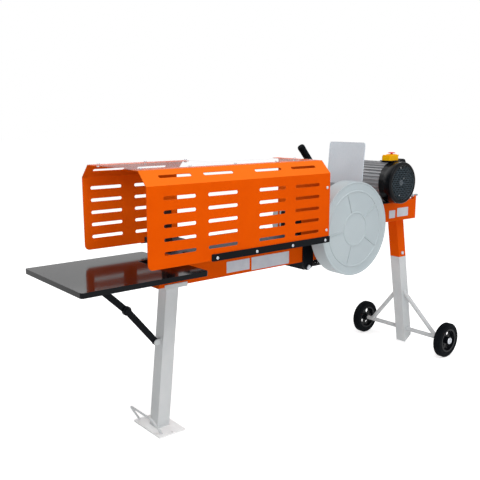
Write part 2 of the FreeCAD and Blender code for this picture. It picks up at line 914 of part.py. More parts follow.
def make_front_leg():
    z0 = foot_thickness
    z1 = beam_bottom_z - saddle_base
    half = leg_size / 2
    outside = leaning_prism(half, leg_foot_x, z0, leg_top_x, z1, half)
    hollow = half - leg_wall
    inside = leaning_prism(hollow, front_leg_x(z0 + leg_wall), z0 + leg_wall,
                           front_leg_x(z1 - leg_wall), z1 - leg_wall, hollow)
    front = leg_top_x - saddle_front
    outer = beam_half_width + saddle_side
    base = box(front, front + saddle_length, -outer, outer, z1, beam_bottom_z)
    lip = box(front, front + saddle_length, beam_half_width, outer, z1, beam_bottom_z + saddle_lip)
    face_x = front_leg_x(stay_lower_z) - half
    ears = []
    inner = stay_thickness + side_gap
    for sign in (1, -1):
        y0, y1 = sorted((sign * inner, sign * (inner + stay_lug_thickness)))
        plate = joined(across(stay_lug_radius, stay_lower_x, stay_lower_z, y0, y1),
                       box(stay_lower_x, face_x + leg_wall, y0, y1, stay_lower_z - stay_lug_radius,
                           stay_lower_z + stay_lug_radius))
        ears.append(plate)
    pin = across(stay_pin_radius, stay_lower_x, stay_lower_z, -inner, inner)
    save("front_leg", joined(outside.cut(inside), base, lip, mirrored(lip), pin, *ears))


# Foot plate and its bent step bar
def make_foot():
    half = foot_length / 2
    plate = slab_z(rectangle(-half, half, -foot_half_width, foot_half_width), 0, foot_thickness,
                   foot_corner)
    holes = [rod(foot_hole_radius, V(0, y, -overrun), V(0, y, foot_thickness + overrun))
             for y in (-foot_hole_y, foot_hole_y)]
    save("front_foot_plate", plate.cut(holes))
    near_foot = V(step_base_x, step_near_y, foot_thickness)
    far_foot = V(step_base_x, step_far_y, foot_thickness)
    near_top = V(step_top_x, step_near_y, step_top_z)
    far_top = V(step_top_x, step_far_y, step_top_z)
    save("foot_step_bar", bent_rod([near_foot, near_top, far_top, far_foot], step_bend, step_radius)
         .cut(box(-foot_length, foot_length, -foot_length, foot_length, -foot_length, foot_thickness)))


def bent_rod(points, bend, radius):
    """Round bar along the points with a tangent arc at each inner one."""
    edges = []
    start = points[0]
    for before, here, after in zip(points, points[1:], points[2:]):
        to_before = (before - here).normalize()
        to_after = (after - here).normalize()
        half = to_before.getAngle(to_after) / 2
        reach = bend / math.tan(half)
        first = here + to_before * reach
        last = here + to_after * reach
        middle = here + (to_before + to_after).normalize() * (bend / math.sin(half) - bend)
        edges.append(Part.makeLine(start, first))
        edges.append(Part.Arc(first, middle, last).toShape())
        start = last
    edges.append(Part.makeLine(start, points[-1]))
    first_way = (points[1] - points[0]).normalize()
    foot = points[0] - first_way * radius
    edges[0] = Part.makeLine(foot, edges[0].Vertexes[1].Point)
    last_way = (points[-1] - points[-2]).normalize()
    edges[-1] = Part.makeLine(edges[-1].Vertexes[0].Point, points[-1] + last_way * radius)
    section = Part.Wire(Part.makeCircle(radius, foot, first_way))
    return Part.Wire(edges).makePipeShell([section], True, False)


# Table: a bent sheet pan with a notch for the beam, and lugs for the hinge and stay
hinge_x = beam_front_x - hinge_ahead


def make_table():
    notch_x = beam_front_x - notch_gap
    z0 = table_top_z - table_depth
    w = table_half_width
    n = notch_half_width
    outline = [(table_front_x, -w), (table_rear_x, -w), (table_rear_x, -n), (notch_x, -n),
               (notch_x, n), (table_rear_x, n), (table_rear_x, w), (table_front_x, w)]
    corners = [table_corner, table_corner, 0, 0, 0, 0, table_corner, table_corner]
    body = slab_z(outline, z0, table_top_z, corners)
    t = table_sheet
    hollow = [(table_front_x + t, -w + t), (table_rear_x - t, -w + t), (table_rear_x - t, -n - t),
              (notch_x - t, -n - t), (notch_x - t, n + t), (table_rear_x - t, n + t),
              (table_rear_x - t, w - t), (table_front_x + t, w - t)]
    body = body.cut(slab_z(hollow, z0 - overrun, table_top_z - t))
    lugs = []
    inner = hinge_ear_inner + hinge_ear_thickness + side_gap
    for sign in (1, -1):
        y0, y1 = sorted((sign * inner, sign * (inner + hinge_ear_thickness)))
        plate = box(hinge_x - hinge_boss_radius, notch_x - t, y0, y1, hinge_z, table_top_z - t)
        lugs += [plate, across(hinge_boss_radius, hinge_x, hinge_z, y0, y1)]
    inner = stay_thickness + side_gap
    for sign in (1, -1):
        y0, y1 = sorted((sign * inner, sign * (inner + stay_lug_thickness)))
        plate = box(stay_upper_x - stay_lug_tall / 2, stay_upper_x + stay_lug_tall / 2, y0, y1,
                    stay_upper_z, table_top_z - t)
        lugs += [plate, across(stay_lug_tall / 2, stay_upper_x, stay_upper_z, y0, y1)]
    pin = across(stay_pin_radius, stay_upper_x, stay_upper_z, -inner, inner)
    bore = across(hinge_pin_radius + fit_gap, hinge_x, hinge_z, -w, w)
    save("table_top", joined(body, *lugs).cut(bore).fuse(pin))


def make_table_hinge():
    reach = hinge_ear_inner + hinge_ear_thickness
    top = hinge_z + hinge_plate_top
    low = top - hinge_plate_height
    t = hinge_plate_thickness
    plate = slab_y([(beam_front(low) - t, low), (beam_front(low), low), (beam_front(top), top),
                    (beam_front(top) - t, top)], -reach, reach)
    side = [(hinge_x, hinge_z - hinge_boss_radius), (beam_front(low), low), (beam_front(top), top),
            (hinge_x, top)]
    ears = []
    for sign in (1, -1):
        y0, y1 = sorted((sign * hinge_ear_inner, sign * reach))
        ears += [across(hinge_boss_radius, hinge_x, hinge_z, y0, y1), slab_y(side, y0, y1)]
    bore = across(hinge_pin_radius, hinge_x, hinge_z, -reach - overrun, reach + overrun)
    end = reach + side_gap + hinge_ear_thickness + hinge_pin_overhang
    pin = across(hinge_pin_radius, hinge_x, hinge_z, -end, end)
    save("table_hinge", joined(plate, *ears).cut(bore), pin)


# Folding stay: two flat bars side by side, with the knee rivet on the upper one
def stay_bar(x, z, y0, y1):
    bar = tangent_slab(x, z, stay_half_width, stay_knee_x, stay_knee_z, stay_half_width, y0, y1)
    knee = across(stay_knee_radius, stay_knee_x, stay_knee_z, y0, y1)
    bore = across(stay_pin_radius + fit_gap, x, z, y0 - overrun, y1 + overrun)
    return joined(bar, knee).cut(bore)


def make_stay():
    gap = seat_gap / 2
    lower = stay_bar(stay_lower_x, stay_lower_z, -stay_thickness, -gap)
    upper = stay_bar(stay_upper_x, stay_upper_z, gap, stay_thickness)
    head = across(stay_pin_head, stay_knee_x, stay_knee_z, stay_thickness,
                  stay_thickness + stay_pin_head_height)
    lower_head = across(stay_pin_head, stay_knee_x, stay_knee_z,
                        -stay_thickness - stay_pin_head_height, -stay_thickness)
    save("stay_lower_bar", joined(lower, lower_head))
    save("stay_upper_bar", joined(upper, head))


# Rear leg in its socket, with the axle, braces and wheels
def rear_leg_x(z):
    return rear_leg_top_x + (beam_top_z - z) * math.tan(rear_leg_lean)


def rear_prism(half, z0, z1):
    return leaning_prism(half, rear_leg_x(z0), z0, rear_leg_x(z1), z1, half)


def make_rear_leg():
    half = leg_size / 2
    spigot = half - leg_wall - spigot_gap
    bolt_z = rear_leg_joint_z + leg_bolt_above_joint
    bolt_x = rear_leg_x(bolt_z)
    bolt_hole = across(leg_bolt_radius + fit_gap, bolt_x, bolt_z, -leg_size, leg_size)
    socket = rear_prism(half, rear_leg_joint_z, beam_top_z)
    socket = socket.cut(rear_prism(half - leg_wall, rear_leg_joint_z - overrun, beam_top_z - leg_wall))
    save("rear_leg_socket", socket.cut(bolt_hole))
    axle_x = rear_leg_x(axle_z)
    leg = joined(rear_prism(half, rear_leg_end_z, rear_leg_joint_z - seat_gap),
                 rear_prism(spigot, rear_leg_joint_z - side_gap, rear_leg_joint_z + spigot_length))
    hollow = rear_prism(spigot - leg_wall, rear_leg_end_z + rear_leg_end_rise + leg_wall,
                        rear_leg_joint_z + spigot_length - leg_wall)
    reach = half / math.cos(rear_leg_lean)
    end_x = rear_leg_x(rear_leg_end_z)
    slope = rear_leg_end_rise / (reach + reach)
    end_cut = slab_y([(end_x - reach - leg_size, rear_leg_end_z - slope * leg_size),
                      (end_x + reach + leg_size, rear_leg_end_z - slope * leg_size),
                      (end_x + reach + leg_size, rear_leg_end_z + rear_leg_end_rise + slope * leg_size)],
                     -leg_size, leg_size)
    axle_tunnel = across(axle_radius + leg_wall, axle_x, axle_z, -half, half)
    bolt_tunnel = across(leg_bolt_radius + leg_wall, bolt_x, bolt_z, -spigot, spigot)
    leg = joined(leg.cut([hollow, end_cut]), axle_tunnel, bolt_tunnel)
    axle_hole = across(axle_radius + fit_gap, axle_x, axle_z, -leg_size, leg_size)
    save("rear_leg", leg.cut([bolt_hole, axle_hole]))
    end = half + leg_bolt_head_height
    bolt = joined(across(leg_bolt_radius, bolt_x, bolt_z, -end, end),
                  across(leg_bolt_head, bolt_x, bolt_z, -end, -half),
                  across(leg_bolt_head, bolt_x, bolt_z, half, end))
    axle = joined(across(axle_radius, axle_x, axle_z, -axle_half_length, axle_half_length),
                  across(stub_radius, axle_x, axle_z, -stub_end, stub_end))
    inside = rear_prism(half, rear_leg_end_z, rear_leg_joint_z)
    top = V(rear_leg_x(brace_top_z), half / 2, brace_top_z)
    foot = V(axle_x, brace_foot_y, axle_z)
    brace = rod(brace_radius, top, foot).cut([inside, axle])
    brace = max(brace.Solids, key=lambda solid: solid.Volume)
    save("wheel_axle", axle, brace, mirrored(brace))
    return bolt


def wheel_tyre(side):
    r, h, c = wheel_radius, tyre_half_width, tyre_round
    k = tyre_round * tyre_shoulder_share
    half = [(tyre_inner, -h), (r - c, -h), (r - k, -h + k), (r, -h + c)]
    profile = half + [(radius, -y) for radius, y in reversed(half)]
    return turned([(radius, y + side * wheel_y) for radius, y in profile],
                  rear_leg_x(axle_z), axle_z)


def wheel_hub(side):
    x, z = rear_leg_x(axle_z), axle_z
    half_web = hub_web / 2
    outer = tyre_inner
    profile = [(stub_radius + fit_gap, -hub_half_width), (hub_boss_radius, -hub_half_width),
               (hub_boss_radius, -half_web), (outer - hub_rim, -half_web),
               (outer - hub_rim, -tyre_half_width), (outer, -tyre_half_width),
               (outer, tyre_half_width), (outer - hub_rim, tyre_half_width),
               (outer - hub_rim, half_web), (hub_boss_radius, half_web),
               (hub_boss_radius, hub_half_width), (stub_radius + fit_gap, hub_half_width)]
    solid = turned([(radius, y + side * wheel_y) for radius, y in profile], x, z)
    mid = (hub_boss_radius + outer - hub_rim) / 2
    holes = []
    for i in range(hub_holes):
        angle = 2 * math.pi * i / hub_holes
        holes.append(across(hub_hole_radius, x + mid * math.cos(angle), z + mid * math.sin(angle),
                            side * wheel_y - hub_half_width, side * wheel_y + hub_half_width))
    return solid.cut(holes)


def make_wheels():
    x = rear_leg_x(axle_z)
    caps = []
    for name, side in (("near", -1), ("far", 1)):
        save(name + "_wheel_tyre", wheel_tyre(side))
        save(name + "_wheel_hub", wheel_hub(side))
        start = side * (wheel_y + hub_half_width + seat_gap)
        y0, y1 = sorted((start, start + side * cap_thickness))
        caps.append(across(cap_radius, x, axle_z, y0, y1).cut(
            across(stub_radius, x, axle_z, -stub_end, stub_end)))
    return caps


# Carriage round the beam, the pusher plate, the cross bolt and the rack
def make_carriage():
    radius = carriage_length / 2
    sides = []
    for sign in (1, -1):
        y0, y1 = sorted((sign * carriage_inner, sign * carriage_outer))
        side = box(carriage_front_x, carriage_rear_x, y0, y1, carriage_end_z + radius,
                   beam_top_z + carriage_side_top)
        sides += [side, across(radius, carriage_mid_x, carriage_end_z + radius, y0, y1)]
    shoe = box(carriage_front_x, carriage_rear_x, -carriage_inner, carriage_inner,
               beam_top_z + carriage_slide_gap, beam_top_z + carriage_side_top)
    ear_inner = rack_half_width + rack_guide_gap
    ears = []
    for sign in (1, -1):
        y0, y1 = sorted((sign * ear_inner, sign * (ear_inner + clevis_thickness)))
        ears.append(box(carriage_front_x, carriage_front_x + clevis_length, y0, y1,
                        beam_top_z + carriage_side_top, rack_top_z + clevis_top_above_rack))
    pin_x = carriage_front_x + clevis_pin_back
    pin_z = (rack_tip_z + rack_top_z) / 2
    reach = rack_pin_radius + seat_gap
    slot = slab_y(rectangle(pin_x - reach, pin_x + reach, pin_z - rack_lift - reach, pin_z + reach),
                  -carriage_inner, carriage_inner, reach)
    bolt_hole = across(carriage_bolt_radius + fit_gap, carriage_mid_x, carriage_bolt_z,
                       -carriage_outer - overrun, carriage_outer + overrun)
    body = joined(*sides, shoe, *ears).cut([slot, bolt_hole])
    half = slide_block_length / 2
    block = box(carriage_mid_x - half, carriage_mid_x + half, -carriage_inner, carriage_inner,
                beam_bottom_z - carriage_slide_gap - slide_block_height,
                beam_bottom_z - carriage_slide_gap).cut(bolt_hole)
    hook_start = carriage_mid_x + half
    hook_end = hook_start + spring_hook_length
    hook = rod(spring_hook_radius, V(hook_start - side_gap, 0, spring_z), V(hook_end, 0, spring_z))
    seat = rod(spring_seat_radius, V(hook_end, 0, spring_z),
               V(hook_end + spring_seat_thickness, 0, spring_z))
    save("pusher_carriage", joined(body, block, hook, seat).cut(bolt_hole))
    end = carriage_outer + carriage_bolt_head_height
    save("carriage_bolt", joined(
        across(carriage_bolt_radius, carriage_mid_x, carriage_bolt_z, -end, end),
        across(carriage_bolt_head, carriage_mid_x, carriage_bolt_z, -end, -carriage_outer),
        across(carriage_bolt_head, carriage_mid_x, carriage_bolt_z, carriage_outer, end)))
    z0 = beam_top_z + pusher_lift
    plate = slab_x(rectangle(-pusher_half_width, pusher_half_width, z0, z0 + pusher_height),
                   pusher_front_x, carriage_front_x, pusher_corner)
    save("pusher_plate", plate)


def make_rack():
    slope = math.tan(pressure_angle)
    half_pitch_line = tooth_pitch / 4 - tooth_backlash / 2
    half_tip = half_pitch_line - addendum_share * gear_module * slope
    half_root = half_pitch_line + dedendum_share * gear_module * slope
    front = carriage_front_x + seat_gap
    first = pinion_x - rack_teeth_ahead * tooth_pitch
    rear = pinion_x + rack_teeth_behind * tooth_pitch
    points = [(rear, rack_top_z), (front, rack_top_z), (front, rack_tip_z), (first, rack_tip_z),
              (first, rack_root_z)]
    for i in range(rack_teeth_ahead + rack_teeth_behind):
        mid = first + i * tooth_pitch + tooth_pitch / 2
        points += [(mid - half_root, rack_root_z), (mid - half_tip, rack_tip_z),
                   (mid + half_tip, rack_tip_z), (mid + half_root, rack_root_z)]
    points.append((rear, rack_root_z))
    body = slab_y(points, -rack_half_width, rack_half_width)
    pin_x = carriage_front_x + clevis_pin_back
    reach = rack_half_width + rack_guide_gap + clevis_thickness
    pin = across(rack_pin_radius, pin_x, (rack_tip_z + rack_top_z) / 2, -reach, reach)
    save("toothed_rack", joined(body, pin))


def involute(angle):
    return math.tan(angle) - angle


def make_pinion_shaft():
    base_radius = pitch_radius * math.cos(pressure_angle)
    tip_radius = pitch_radius + addendum_share * gear_module
    root_radius = pitch_radius - dedendum_share * gear_module
    at_pitch = math.pi / (2 * pinion_teeth) - tooth_backlash / (2 * pitch_radius)

    def half_angle(radius):
        return at_pitch + involute(pressure_angle) - involute(math.acos(base_radius / radius))
    flank = [(root_radius, half_angle(base_radius) * undercut_share),
             (base_radius, half_angle(base_radius)),
             (pitch_radius, half_angle(pitch_radius)),
             ((pitch_radius + tip_radius) / 2, half_angle((pitch_radius + tip_radius) / 2)),
             (tip_radius, half_angle(tip_radius))]
    points = []
    for i in range(pinion_teeth):
        middle = math.pi / 2 - 2 * math.pi * i / pinion_teeth
        for radius, half in flank:
            points.append((radius, middle + half))
        for radius, half in reversed(flank):
            points.append((radius, middle - half))
    outline = [(pinion_x + r * math.cos(a), pinion_z + r * math.sin(a)) for r, a in points]
    teeth = slab_y(outline, -pinion_half_width, pinion_half_width)
    near = across(shaft_radius, pinion_x, pinion_z, -shaft_near_end, -pinion_half_width)
    far = across(shaft_radius, pinion_x, pinion_z, pinion_half_width, shaft_far_end)
    save("pinion_shaft", joined(teeth, near, far))


# Two flange bearings on the sides of the housing
def make_bearings():
    solids = []
    spread = bearing_half_length - bearing_round
    for side in (-1, 1):
        y0, y1 = sorted((side * beam_half_width, side * (beam_half_width + bearing_thickness / 2)))
        flange = slab_y(rectangle(pinion_x - bearing_half_length, pinion_x + bearing_half_length,
                                  pinion_z - bearing_round, pinion_z + bearing_round),
                        y0, y1, bearing_round)
        boss_y0, boss_y1 = sorted((side * beam_half_width, side * (beam_half_width + bearing_thickness)))
        boss = across(bearing_boss, pinion_x, pinion_z, boss_y0, boss_y1)
        bore = across(shaft_radius + fit_gap, pinion_x, pinion_z, -drum_face, drum_face)
        studs = [across(screw_head_radius, pinion_x + dx, pinion_z,
                        *sorted((side * (beam_half_width + bearing_thickness / 2),
                                 side * (beam_half_width + bearing_thickness / 2 + nut_height))))
                 for dx in (-spread - screw_head_radius * 2, spread + screw_head_radius * 2)]
        solids.append(joined(flange, boss, *studs).cut(bore))
    save("pinion_bearings", *solids)


# Flywheel with a heavy rim, a thin web and a hub
def make_flywheel():
    mid = -(flywheel_near + flywheel_far) / 2
    web0, web1 = mid - flywheel_web / 2, mid + flywheel_web / 2
    hub0, hub1 = -flywheel_near + flywheel_hub_inset, -flywheel_far - flywheel_hub_inset
    bore = shaft_radius + fit_gap
    profile = [(bore, hub0), (flywheel_hub, hub0), (flywheel_hub, web0),
               (flywheel_rim_inner, web0), (flywheel_rim_inner, -flywheel_near),
               (flywheel_radius, -flywheel_near), (flywheel_radius, -flywheel_far),
               (flywheel_rim_inner, -flywheel_far), (flywheel_rim_inner, web1),
               (flywheel_hub, web1), (flywheel_hub, hub1), (bore, hub1)]
    save("flywheel", turned(profile, pinion_x, pinion_z))


def standoffs(y0, y1):
    places = [(-standoff_side, standoff_side_above), (standoff_side, standoff_side_above),
              (0, standoff_top_above)]
    return [across(standoff_radius, pinion_x + dx, pinion_z + dz, y0, y1) for dx, dz in places]


# Drum round the flywheel: a back plate on stand-offs and a dished cover
def make_drum():
    plate = across(drum_radius, pinion_x, pinion_z, -drum_back - sheet, -drum_back)
    hole = across(drum_hole, pinion_x, pinion_z, -drum_face, 0)
    back_plate = joined(plate.cut(hole), *standoffs(-drum_back, -beam_half_width))
    face = -drum_face
    inner_face = face + sheet
    rim = drum_radius
    outer_ring = drum_radius * drum_outer_ring_share
    inner_ring = drum_radius * drum_inner_ring_share
    h = drum_bead_height
    w = drum_ring_width

    def raised(y, lift):
        return [(inner_ring - w, y), (inner_ring - w / 2, y - lift), (inner_ring + w / 2, y - lift),
                (inner_ring + w, y), (outer_ring - w, y), (outer_ring - w / 2, y - lift),
                (outer_ring + w / 2, y - lift), (outer_ring + w, y)]
    open_y = -drum_back - sheet
    profile = [(0, face)] + raised(face, h) + [
        (rim - drum_bead, face), (rim - drum_bead / 2, face - h), (rim - sheet / 2, face - h),
        (rim, face), (rim, open_y), (rim - sheet, open_y), (rim - sheet, inner_face), (0, inner_face)]
    cover = turned(profile, pinion_x, pinion_z)
    ribs = []
    for angle in drum_rib_angles:
        rib = box(inner_ring, outer_ring, -drum_rib_half_width, drum_rib_half_width, 0, h)
        rib.rotate(V(0, 0, 0), along_x, 90)
        rib.rotate(V(0, 0, 0), along_y, -angle)
        rib.translate(V(pinion_x, face, pinion_z))
        ribs.append(rib)
    save("drum_cover", joined(cover, *ribs))
    return back_plate


# Belt drive on the far side
def pulley(radius, bore, x, z):
    y0, y1 = belt_y - pulley_half_width, belt_y + pulley_half_width
    groove = radius - groove_depth
    narrow = belt_half_width * belt_taper_share
    rim_inner = groove - pulley_web
    hub = min(pulley_hub, rim_inner)
    profile = [(bore, y0), (radius, y0), (radius, belt_y - belt_half_width),
               (groove, belt_y - narrow), (groove, belt_y + narrow),
               (radius, belt_y + belt_half_width), (radius, y1), (bore, y1)]
    if hub < rim_inner:
        web0, web1 = belt_y - pulley_web, belt_y + pulley_web
        profile = [(bore, y0), (hub, y0), (hub, web0), (rim_inner, web0), (rim_inner, y0)] \
            + profile[1:-1] + [(rim_inner, y1), (rim_inner, web1), (hub, web1), (hub, y1), (bore, y1)]
    return turned(profile, x, z)


def make_belt_drive():
    save("flywheel_pulley", pulley(flywheel_pulley_radius, shaft_radius + fit_gap, pinion_x, pinion_z))
    save("motor_pulley", pulley(motor_pulley_radius, motor_shaft_radius + fit_gap, motor_x, motor_z))
    big = flywheel_pulley_radius - groove_depth + seat_gap
    small = motor_pulley_radius - groove_depth + seat_gap
    narrow = belt_half_width * belt_taper_share - seat_gap
    solid = tangent_slab(pinion_x, pinion_z, big + belt_thickness, motor_x, motor_z,
                         small + belt_thickness, belt_y - narrow, belt_y + narrow)
    hollow = tangent_slab(pinion_x, pinion_z, big, motor_x, motor_z, small,
                          belt_y - belt_half_width, belt_y + belt_half_width)
    save("drive_belt", solid.cut(hollow))


def make_belt_guard():
    y0, y1 = belt_guard_near, belt_guard_far

    def shape(shrink, a, b):
        return tangent_slab(pinion_x, pinion_z, belt_guard_radius - shrink, motor_x, motor_z,
                            belt_guard_small_radius - shrink, a, b)
    holes = [across(belt_guard_hole, pinion_x, pinion_z, y0 - overrun, y0 + overrun),
             across(belt_guard_hole, motor_x, motor_z, y0 - overrun, y0 + overrun)]
    save("belt_guard_cover", shape(0, y0 + sheet, y1).cut(shape(sheet, y0, y1 - sheet)))
    return joined(shape(0, y0, y0 + sheet).cut(holes), *standoffs(beam_half_width, belt_guard_near))


# Motor: finned body on two feet, end bell, rotor, fan and cover
def make_motor():
    body = across(motor_core_radius, motor_x, motor_z, -motor_near, motor_far)
    fins = []
    for i in range(motor_fins):
        angle = 360.0 * i / motor_fins
        fin = box(motor_core_radius - motor_fin_thickness, motor_fin_radius,
                  -motor_near, motor_far, -motor_fin_thickness / 2, motor_fin_thickness / 2)
        fin.rotate(V(0, 0, 0), along_y, -angle)
        fin.translate(V(motor_x, 0, motor_z))
        fins.append(fin)
    feet = [box(motor_x + side * motor_foot_offset - motor_foot_half,
                motor_x + side * motor_foot_offset + motor_foot_half,
                -motor_near + motor_foot_inset, motor_far - motor_foot_inset,
                housing_top_z + base_thickness, motor_z - motor_core_radius / 2)
            for side in (-1, 1)]
    bore = across(motor_bore, motor_x, motor_z, -motor_near + motor_end_wall, motor_far + overrun)
    shaft_hole = across(motor_shaft_radius + side_gap, motor_x, motor_z, -motor_near - overrun, motor_far)
    whole = joined(body, *fins)
    save("motor_housing", joined(whole, *feet).cut([bore, shaft_hole]))
    profile = [(motor_shaft_radius + fit_gap, motor_far), (motor_fin_radius, motor_far),
               (motor_fin_radius, motor_far + bell_nose), (bell_nose_radius, motor_far + bell_depth),
               (motor_shaft_radius + fit_gap, motor_far + bell_depth)]
    save("motor_end_bell", turned(profile, motor_x, motor_z))
    rotor = joined(
        across(motor_shaft_radius, motor_x, motor_z, -fan_near, shaft_far_end),
        across(rotor_radius, motor_x, motor_z, -motor_near + rotor_inset, motor_far - rotor_inset))
    save("motor_rotor", rotor)


# Capacitor on a saddle at the side of the motor
def make_capacitor():
    out = motor_fin_radius + capacitor_lift + capacitor_radius
    mid = (capacitor_far - capacitor_near) / 2
    can = across(capacitor_radius, out, 0, -capacitor_near, capacitor_far)
    saddle = box(0, out, mid - capacitor_saddle_half_length, mid + capacitor_saddle_half_length,
                 -capacitor_saddle_half_width, capacitor_saddle_half_width)
    shape = joined(can, saddle).cut(across(motor_fin_radius, 0, 0, -capacitor_near, capacitor_far))
    shape.rotate(V(0, 0, 0), along_y, -capacitor_angle)
    shape.translate(V(motor_x, 0, motor_z))
    save("run_capacitor", shape)


def make_fan():
    r = fan_cover_radius
    y0, y1 = -fan_cover_end, -motor_near - seat_gap
    line = [(0, y0), (r - fan_cover_round, y0), (r, y0 + fan_cover_round), (r, y1)]
    shell = turned(folded(line, sheet), motor_x, motor_z)
    slots = []
    for row in range(fan_slot_rings):
        inner = fan_slot_inner + row * fan_slot_step
        profile = [(inner, y0 - overrun), (inner + fan_slot_width, y0 - overrun),
                   (inner + fan_slot_width, y0 + overrun), (inner, y0 + overrun)]
        points = [V(motor_x + radius, y, motor_z) for radius, y in profile]
        face = Part.Face(Part.makePolygon(points + [points[0]]))
        for i in range(fan_slot_arcs):
            arc = face.revolve(V(motor_x, 0, motor_z), along_y, fan_slot_sweep)
            arc.rotate(V(motor_x, 0, motor_z), along_y, 360.0 * i / fan_slot_arcs)
            slots.append(arc)
    save("motor_fan_cover", shell.cut(slots))
    bore = motor_shaft_radius + fit_gap
    hub = ring(fan_hub_radius, bore, V(motor_x, -fan_near, motor_z), V(motor_x, -fan_far, motor_z))
    blades = []
    for i in range(fan_blades):
        blade = box(fan_hub_radius - side_gap, fan_radius, -fan_near, -fan_far,
                    -fan_blade_thickness / 2, fan_blade_thickness / 2)
        blade.rotate(V(0, 0, 0), along_y, 360.0 * i / fan_blades)
        blade.translate(V(motor_x, 0, motor_z))
        blades.append(blade)
    save("cooling_fan", joined(hub, *blades))


tension_z = housing_top_z + tension_above


def make_motor_base():
    x0, x1 = motor_x - base_half_length, motor_x + base_half_length
    z0 = housing_top_z
    plate = box(x0, x1, -base_near, base_far, z0, z0 + base_thickness)
    tab = box(x1 - base_thickness, x1, tension_y - tension_lug_half_width,
              tension_y + tension_lug_half_width, z0, z0 + base_tab_height)
    save("motor_base_plate", joined(plate, tab))
    start = V(x1, tension_y, tension_z)
    end = V(housing_rear_x + tension_stub, tension_y, tension_z)
    lug_x0 = housing_rear_x - tension_lug_thickness
    nut = rod(tension_radius * 2 - side_gap, V(lug_x0 - nut_height * 2, tension_y, tension_z),
              V(lug_x0, tension_y, tension_z))
    return joined(rod(tension_radius, start, end), nut)


# Switch on the motor: plate, housing, hinged lid and three buttons
fan_cover_top = motor_z + fan_cover_radius
switch_plate_z = fan_cover_top + seat_gap
switch_base_z = switch_plate_z + switch_plate
switch_face_z = switch_base_z + switch_height
lid_pivot_x = switch_x + switch_half_length + lid_pivot_back
lid_pivot_z = switch_face_z + lid_pivot_up
stop_x = switch_x + stop_offset
start_x = switch_x + start_offset


def make_switch():
    neck = box(switch_x - switch_neck_half_length, switch_x + switch_neck_half_length,
               -switch_neck_near, -switch_neck_far, motor_z, switch_plate_z)
    neck = neck.cut(across(motor_fin_radius, motor_x, motor_z, -fan_cover_end, 0))
    w, d = switch_plate_half_length, switch_plate_half_width
    plate = slab_z(rectangle(switch_x - w, switch_x + w, switch_y - d, switch_y + d),
                   switch_plate_z, switch_base_z, switch_corner)
    save("switch_mount_box", joined(plate, neck))
    w, d = switch_half_length, switch_half_width
    body = slab_z(rectangle(switch_x - w, switch_x + w, switch_y - d, switch_y + d),
                  switch_base_z, switch_face_z, switch_corner)
    recess_z = switch_face_z + button_stand - button_height - button_travel - button_gap
    wells = [rod(button_radius + button_gap, V(x, switch_y, recess_z),
                 V(x, switch_y, switch_face_z + overrun)) for x in (start_x, stop_x)]
    ears = []
    ear_start = lid_knuckle_half + lid_ear_gap
    for side in (-1, 1):
        y0, y1 = sorted((switch_y + side * ear_start, switch_y + side * (ear_start + lid_ear)))
        ears += [box(switch_x + w - side_gap, lid_pivot_x, y0, y1, switch_face_z - lid_knuckle_radius,
                     switch_face_z),
                 box(lid_pivot_x - lid_knuckle_radius, lid_pivot_x, y0, y1,
                     switch_face_z - lid_knuckle_radius, lid_pivot_z),
                 across(lid_knuckle_radius, lid_pivot_x, lid_pivot_z, y0, y1)]
    pin = across(lid_pin_radius, lid_pivot_x, lid_pivot_z, switch_y - ear_start, switch_y + ear_start)
    save("switch_housing", joined(body.cut(wells), pin, *ears))
    for name, x in (("start_button", start_x), ("off_button", stop_x)):
        top = switch_face_z + button_stand
        save(name, rod(button_radius, V(x, switch_y, top - button_height), V(x, switch_y, top)))


def make_switch_lid():
    x1 = lid_pivot_x - lid_knuckle_radius - side_gap
    x0 = x1 - lid_length
    z0 = switch_face_z + seat_gap
    z1 = z0 + lid_height
    d = switch_half_width
    shell = slab_z(rectangle(x0, x1, switch_y - d, switch_y + d), z0, z1, switch_corner)
    inner = slab_z(rectangle(x0 + lid_wall, x1 - lid_wall, switch_y - d + lid_wall,
                             switch_y + d - lid_wall), z0 - overrun, z1 - lid_wall)
    knuckle = across(lid_knuckle_radius, lid_pivot_x, lid_pivot_z,
                     switch_y - lid_knuckle_half, switch_y + lid_knuckle_half)
    web = box(x1 - side_gap, lid_pivot_x, switch_y - lid_knuckle_half, switch_y + lid_knuckle_half,
              lid_pivot_z, lid_pivot_z + lid_knuckle_radius)
    bore = across(lid_pin_radius + fit_gap, lid_pivot_x, lid_pivot_z, -fan_cover_end, 0)
    b = lid_block_half
    block_top = z1 + lid_block_height
    block = slab_z(rectangle(stop_x - b, stop_x + b, switch_y - b, switch_y + b),
                   z1 - lid_wall, block_top, switch_corner)
    stem_hole = rod(stop_stem_radius + button_gap, V(stop_x, switch_y, z0),
                    V(stop_x, switch_y, block_top + overrun))
    save("switch_lid", joined(shell.cut(inner), block, knuckle, web).cut([bore, stem_hole]))
    head_z = block_top + stop_travel + button_gap
    stem_z = switch_face_z + button_stand + stop_travel + button_gap
    head = rod(stop_head_radius, V(stop_x, switch_y, head_z),
               V(stop_x, switch_y, head_z + stop_head_height))
    top = [edge for edge in head.Edges if edge.isClosed() and edge.BoundBox.ZMin > head_z + side_gap]
    head = head.makeChamfer(stop_head_height / 2, top)
    save("stop_button", joined(head, rod(stop_stem_radius, V(stop_x, switch_y, stem_z),
                                         V(stop_x, switch_y, head_z))))


# Lever: two cheeks with the roller at one end and the arm with its grip at the other
roller_x = pinion_x
roller_z = rack_top_z + roller_gap + roller_radius


def lever_point(distance):
    way = V(lever_end_x - lever_pivot_x, 0, lever_end_z - lever_pivot_z).normalize()
    return V(lever_pivot_x, 0, lever_pivot_z) + way * distance


